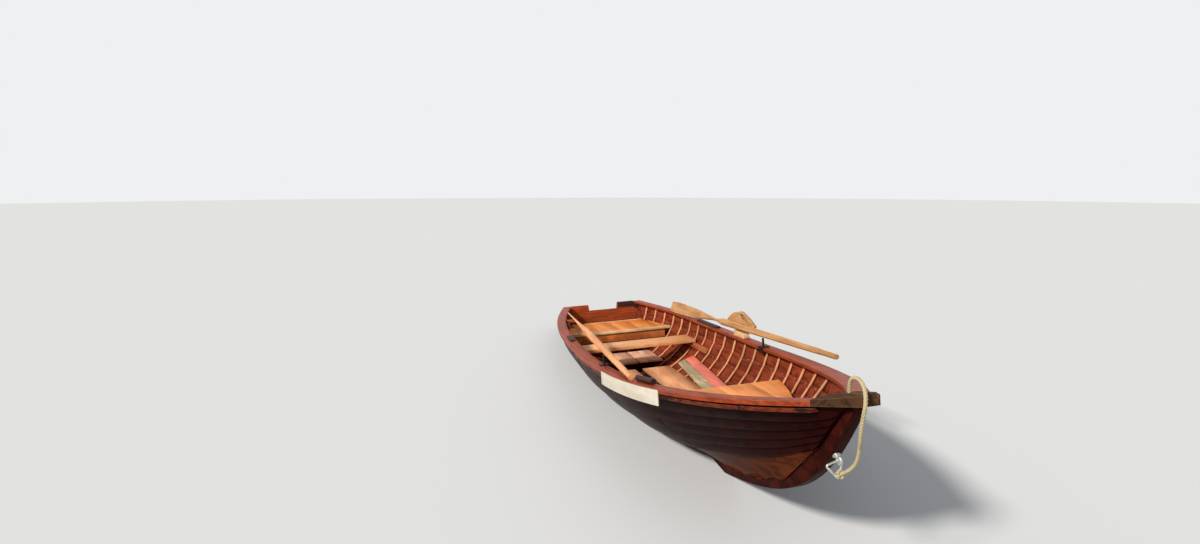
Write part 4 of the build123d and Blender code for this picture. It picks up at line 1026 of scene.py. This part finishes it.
# %% Finishes on the boat's nodes
# The pads' finish is partly painted shade on the motor pad, the rail pads and the transom's top.
NODE_FINISH = {
    "strake_": "planking", "strake_garboard": "garboard", "keel": "backbone with painted shade", "stem": "backbone with painted shade",
    "stem_head": "stem head", "rail_cap": "rail cap", "outwale": "outwale", "transom": "transom",
    "motor_pad": "dark pad and painted shade", "ribs": "ribs", "stern_seat_boards": "stern seat",
    "stern_seat_edges": "seat edges", "stern_seat_apron": "apron", "rowing_seat": "rowing seat",
    "bow_seat_boards": "bow seat with painted highlights", "bow_seat_bearers": "seat framing", "bow_riser": "seat framing",
    "stern_riser": "seat framing", "rowing_riser": "seat framing", "floor_bearers": "floor bearers",
    "floor_middle": "floor boards", "floor_aft": "aft floor boards with painted light", "loose_plank_grey": "grey plank",
    "loose_plank_red": "red plank", "oar_port": "port oar", "oar_starboard": "oars",
    "oar_block": "oar block", "rail_pad": "dark pad and painted shade", "blade_bracket": "seat framing",
    "grip_bar": "dark pad and painted shade", "rowlock_iron": "dark iron", "thole_pin": "dark iron",
    "name_board": "white paint", "bow_eye": "galvanised steel", "bow_link": "galvanised steel",
    "mooring_rope": "rope fibre", "rope_knot": "rope fibre",
}
ADDED_FINISH = (
    (rope, "rope fibre"), (knot, "rope fibre"), (rove_piece, "nail heads"), (head_piece, "dark iron"),
    (transom_pad_and_shade, "dark pad and painted shade"),
)


def paint(piece, finish):
    piece.data.materials.clear()
    piece.data.materials.append(FINISHES[finish])
    for polygon in piece.data.polygons:
        polygon.material_index = 0


def longest_start(name, rules):
    """The longest of the rules that a name starts with, or nothing."""
    return max((start for start in rules if name.startswith(start)), key=len, default=None)


for name, node in nodes.items():
    paint(node, NODE_FINISH[longest_start(name, NODE_FINISH)])
for piece, finish in ADDED_FINISH:
    paint(piece, finish)
print("finished nodes", len(nodes), "and added pieces", len(ADDED_FINISH))

# %% [markdown]
# Nothing wooden keeps a knife-sharp edge. The shader's own bevel would round only the light on it,
# so a modifier rounds the mesh, by a millimetre or two on boards and less on thin strips. A weld
# first joins the model's split corners. A bevel only takes wood away, so each piece keeps its size.

# %% Eased edges
EASED = {
    "strake_": 0.0012, "keel": 0.004, "stem": 0.004, "rail_cap": 0.0016, "outwale": 0.0012,
    "transom": 0.003, "ribs": 0.0015, "stern_seat": 0.0015, "rowing_seat": 0.003, "bow_seat": 0.0015,
    "floor_": 0.0018, "loose_plank": 0.0018, "oar_port_wing": 0.003, "oar_starboard_wing": 0.003,
    "oar_block": 0.003, "name_board": 0.001, "motor_pad": 0.004, "rail_pad": 0.003,
    "blade_bracket": 0.002, "rowing_riser": 0.002, "bow_riser": 0.002, "stern_riser": 0.002,
    "stem_head": 0.006,
}
WELD_DISTANCE = 0.00002
EASED_SEGMENTS = 2
EASED_ANGLE = math.radians(32.0)


def ease_edges(piece, width):
    weld = piece.modifiers.new("weld", "WELD")
    weld.merge_threshold = WELD_DISTANCE
    bevel = piece.modifiers.new("bevel", "BEVEL")
    bevel.width = width
    bevel.segments = EASED_SEGMENTS
    bevel.limit_method = "ANGLE"
    bevel.angle_limit = EASED_ANGLE
    bevel.harden_normals = True
    piece.data.shade_smooth()


rules = {name: longest_start(name, EASED) for name in nodes}
eased = [name for name, rule in rules.items() if rule]
for name in eased:
    ease_edges(nodes[name], EASED[rules[name]])
print("eased", len(eased), "nodes")

# %% [markdown]
# The floor is plain and pale. A floor as pale as it looks would throw so much light up that the dark
# planking seemed washed out, so it has two shaders: a pale one that the camera and reflections see,
# and a greyer one that the light on the boat bounces from.

# %% Floor finish
FLOOR_BOUNCE = (0.42, 0.42, 0.42, 1.0)
FLOOR_SHOWN = (0.80, 0.81, 0.82, 1.0)
FLOOR_ROUGHNESS = 0.6
FLOOR_SHINE = 0.2

floor_finish, g, shader = start_material("pale floor")
shader.inputs["Base Color"].default_value = FLOOR_BOUNCE
shader.inputs["Roughness"].default_value = FLOOR_ROUGHNESS
shader.inputs["Specular IOR Level"].default_value = FLOOR_SHINE
pale = g.add("ShaderNodeBsdfDiffuse", Color=FLOOR_SHOWN)
output = next(n for n in floor_finish.node_tree.nodes if n.type == "OUTPUT_MATERIAL")
g.feed(output.inputs["Surface"], g.shown_apart(shader, pale))
floor.data.materials.append(floor_finish)
print("floor", floor_finish.name)
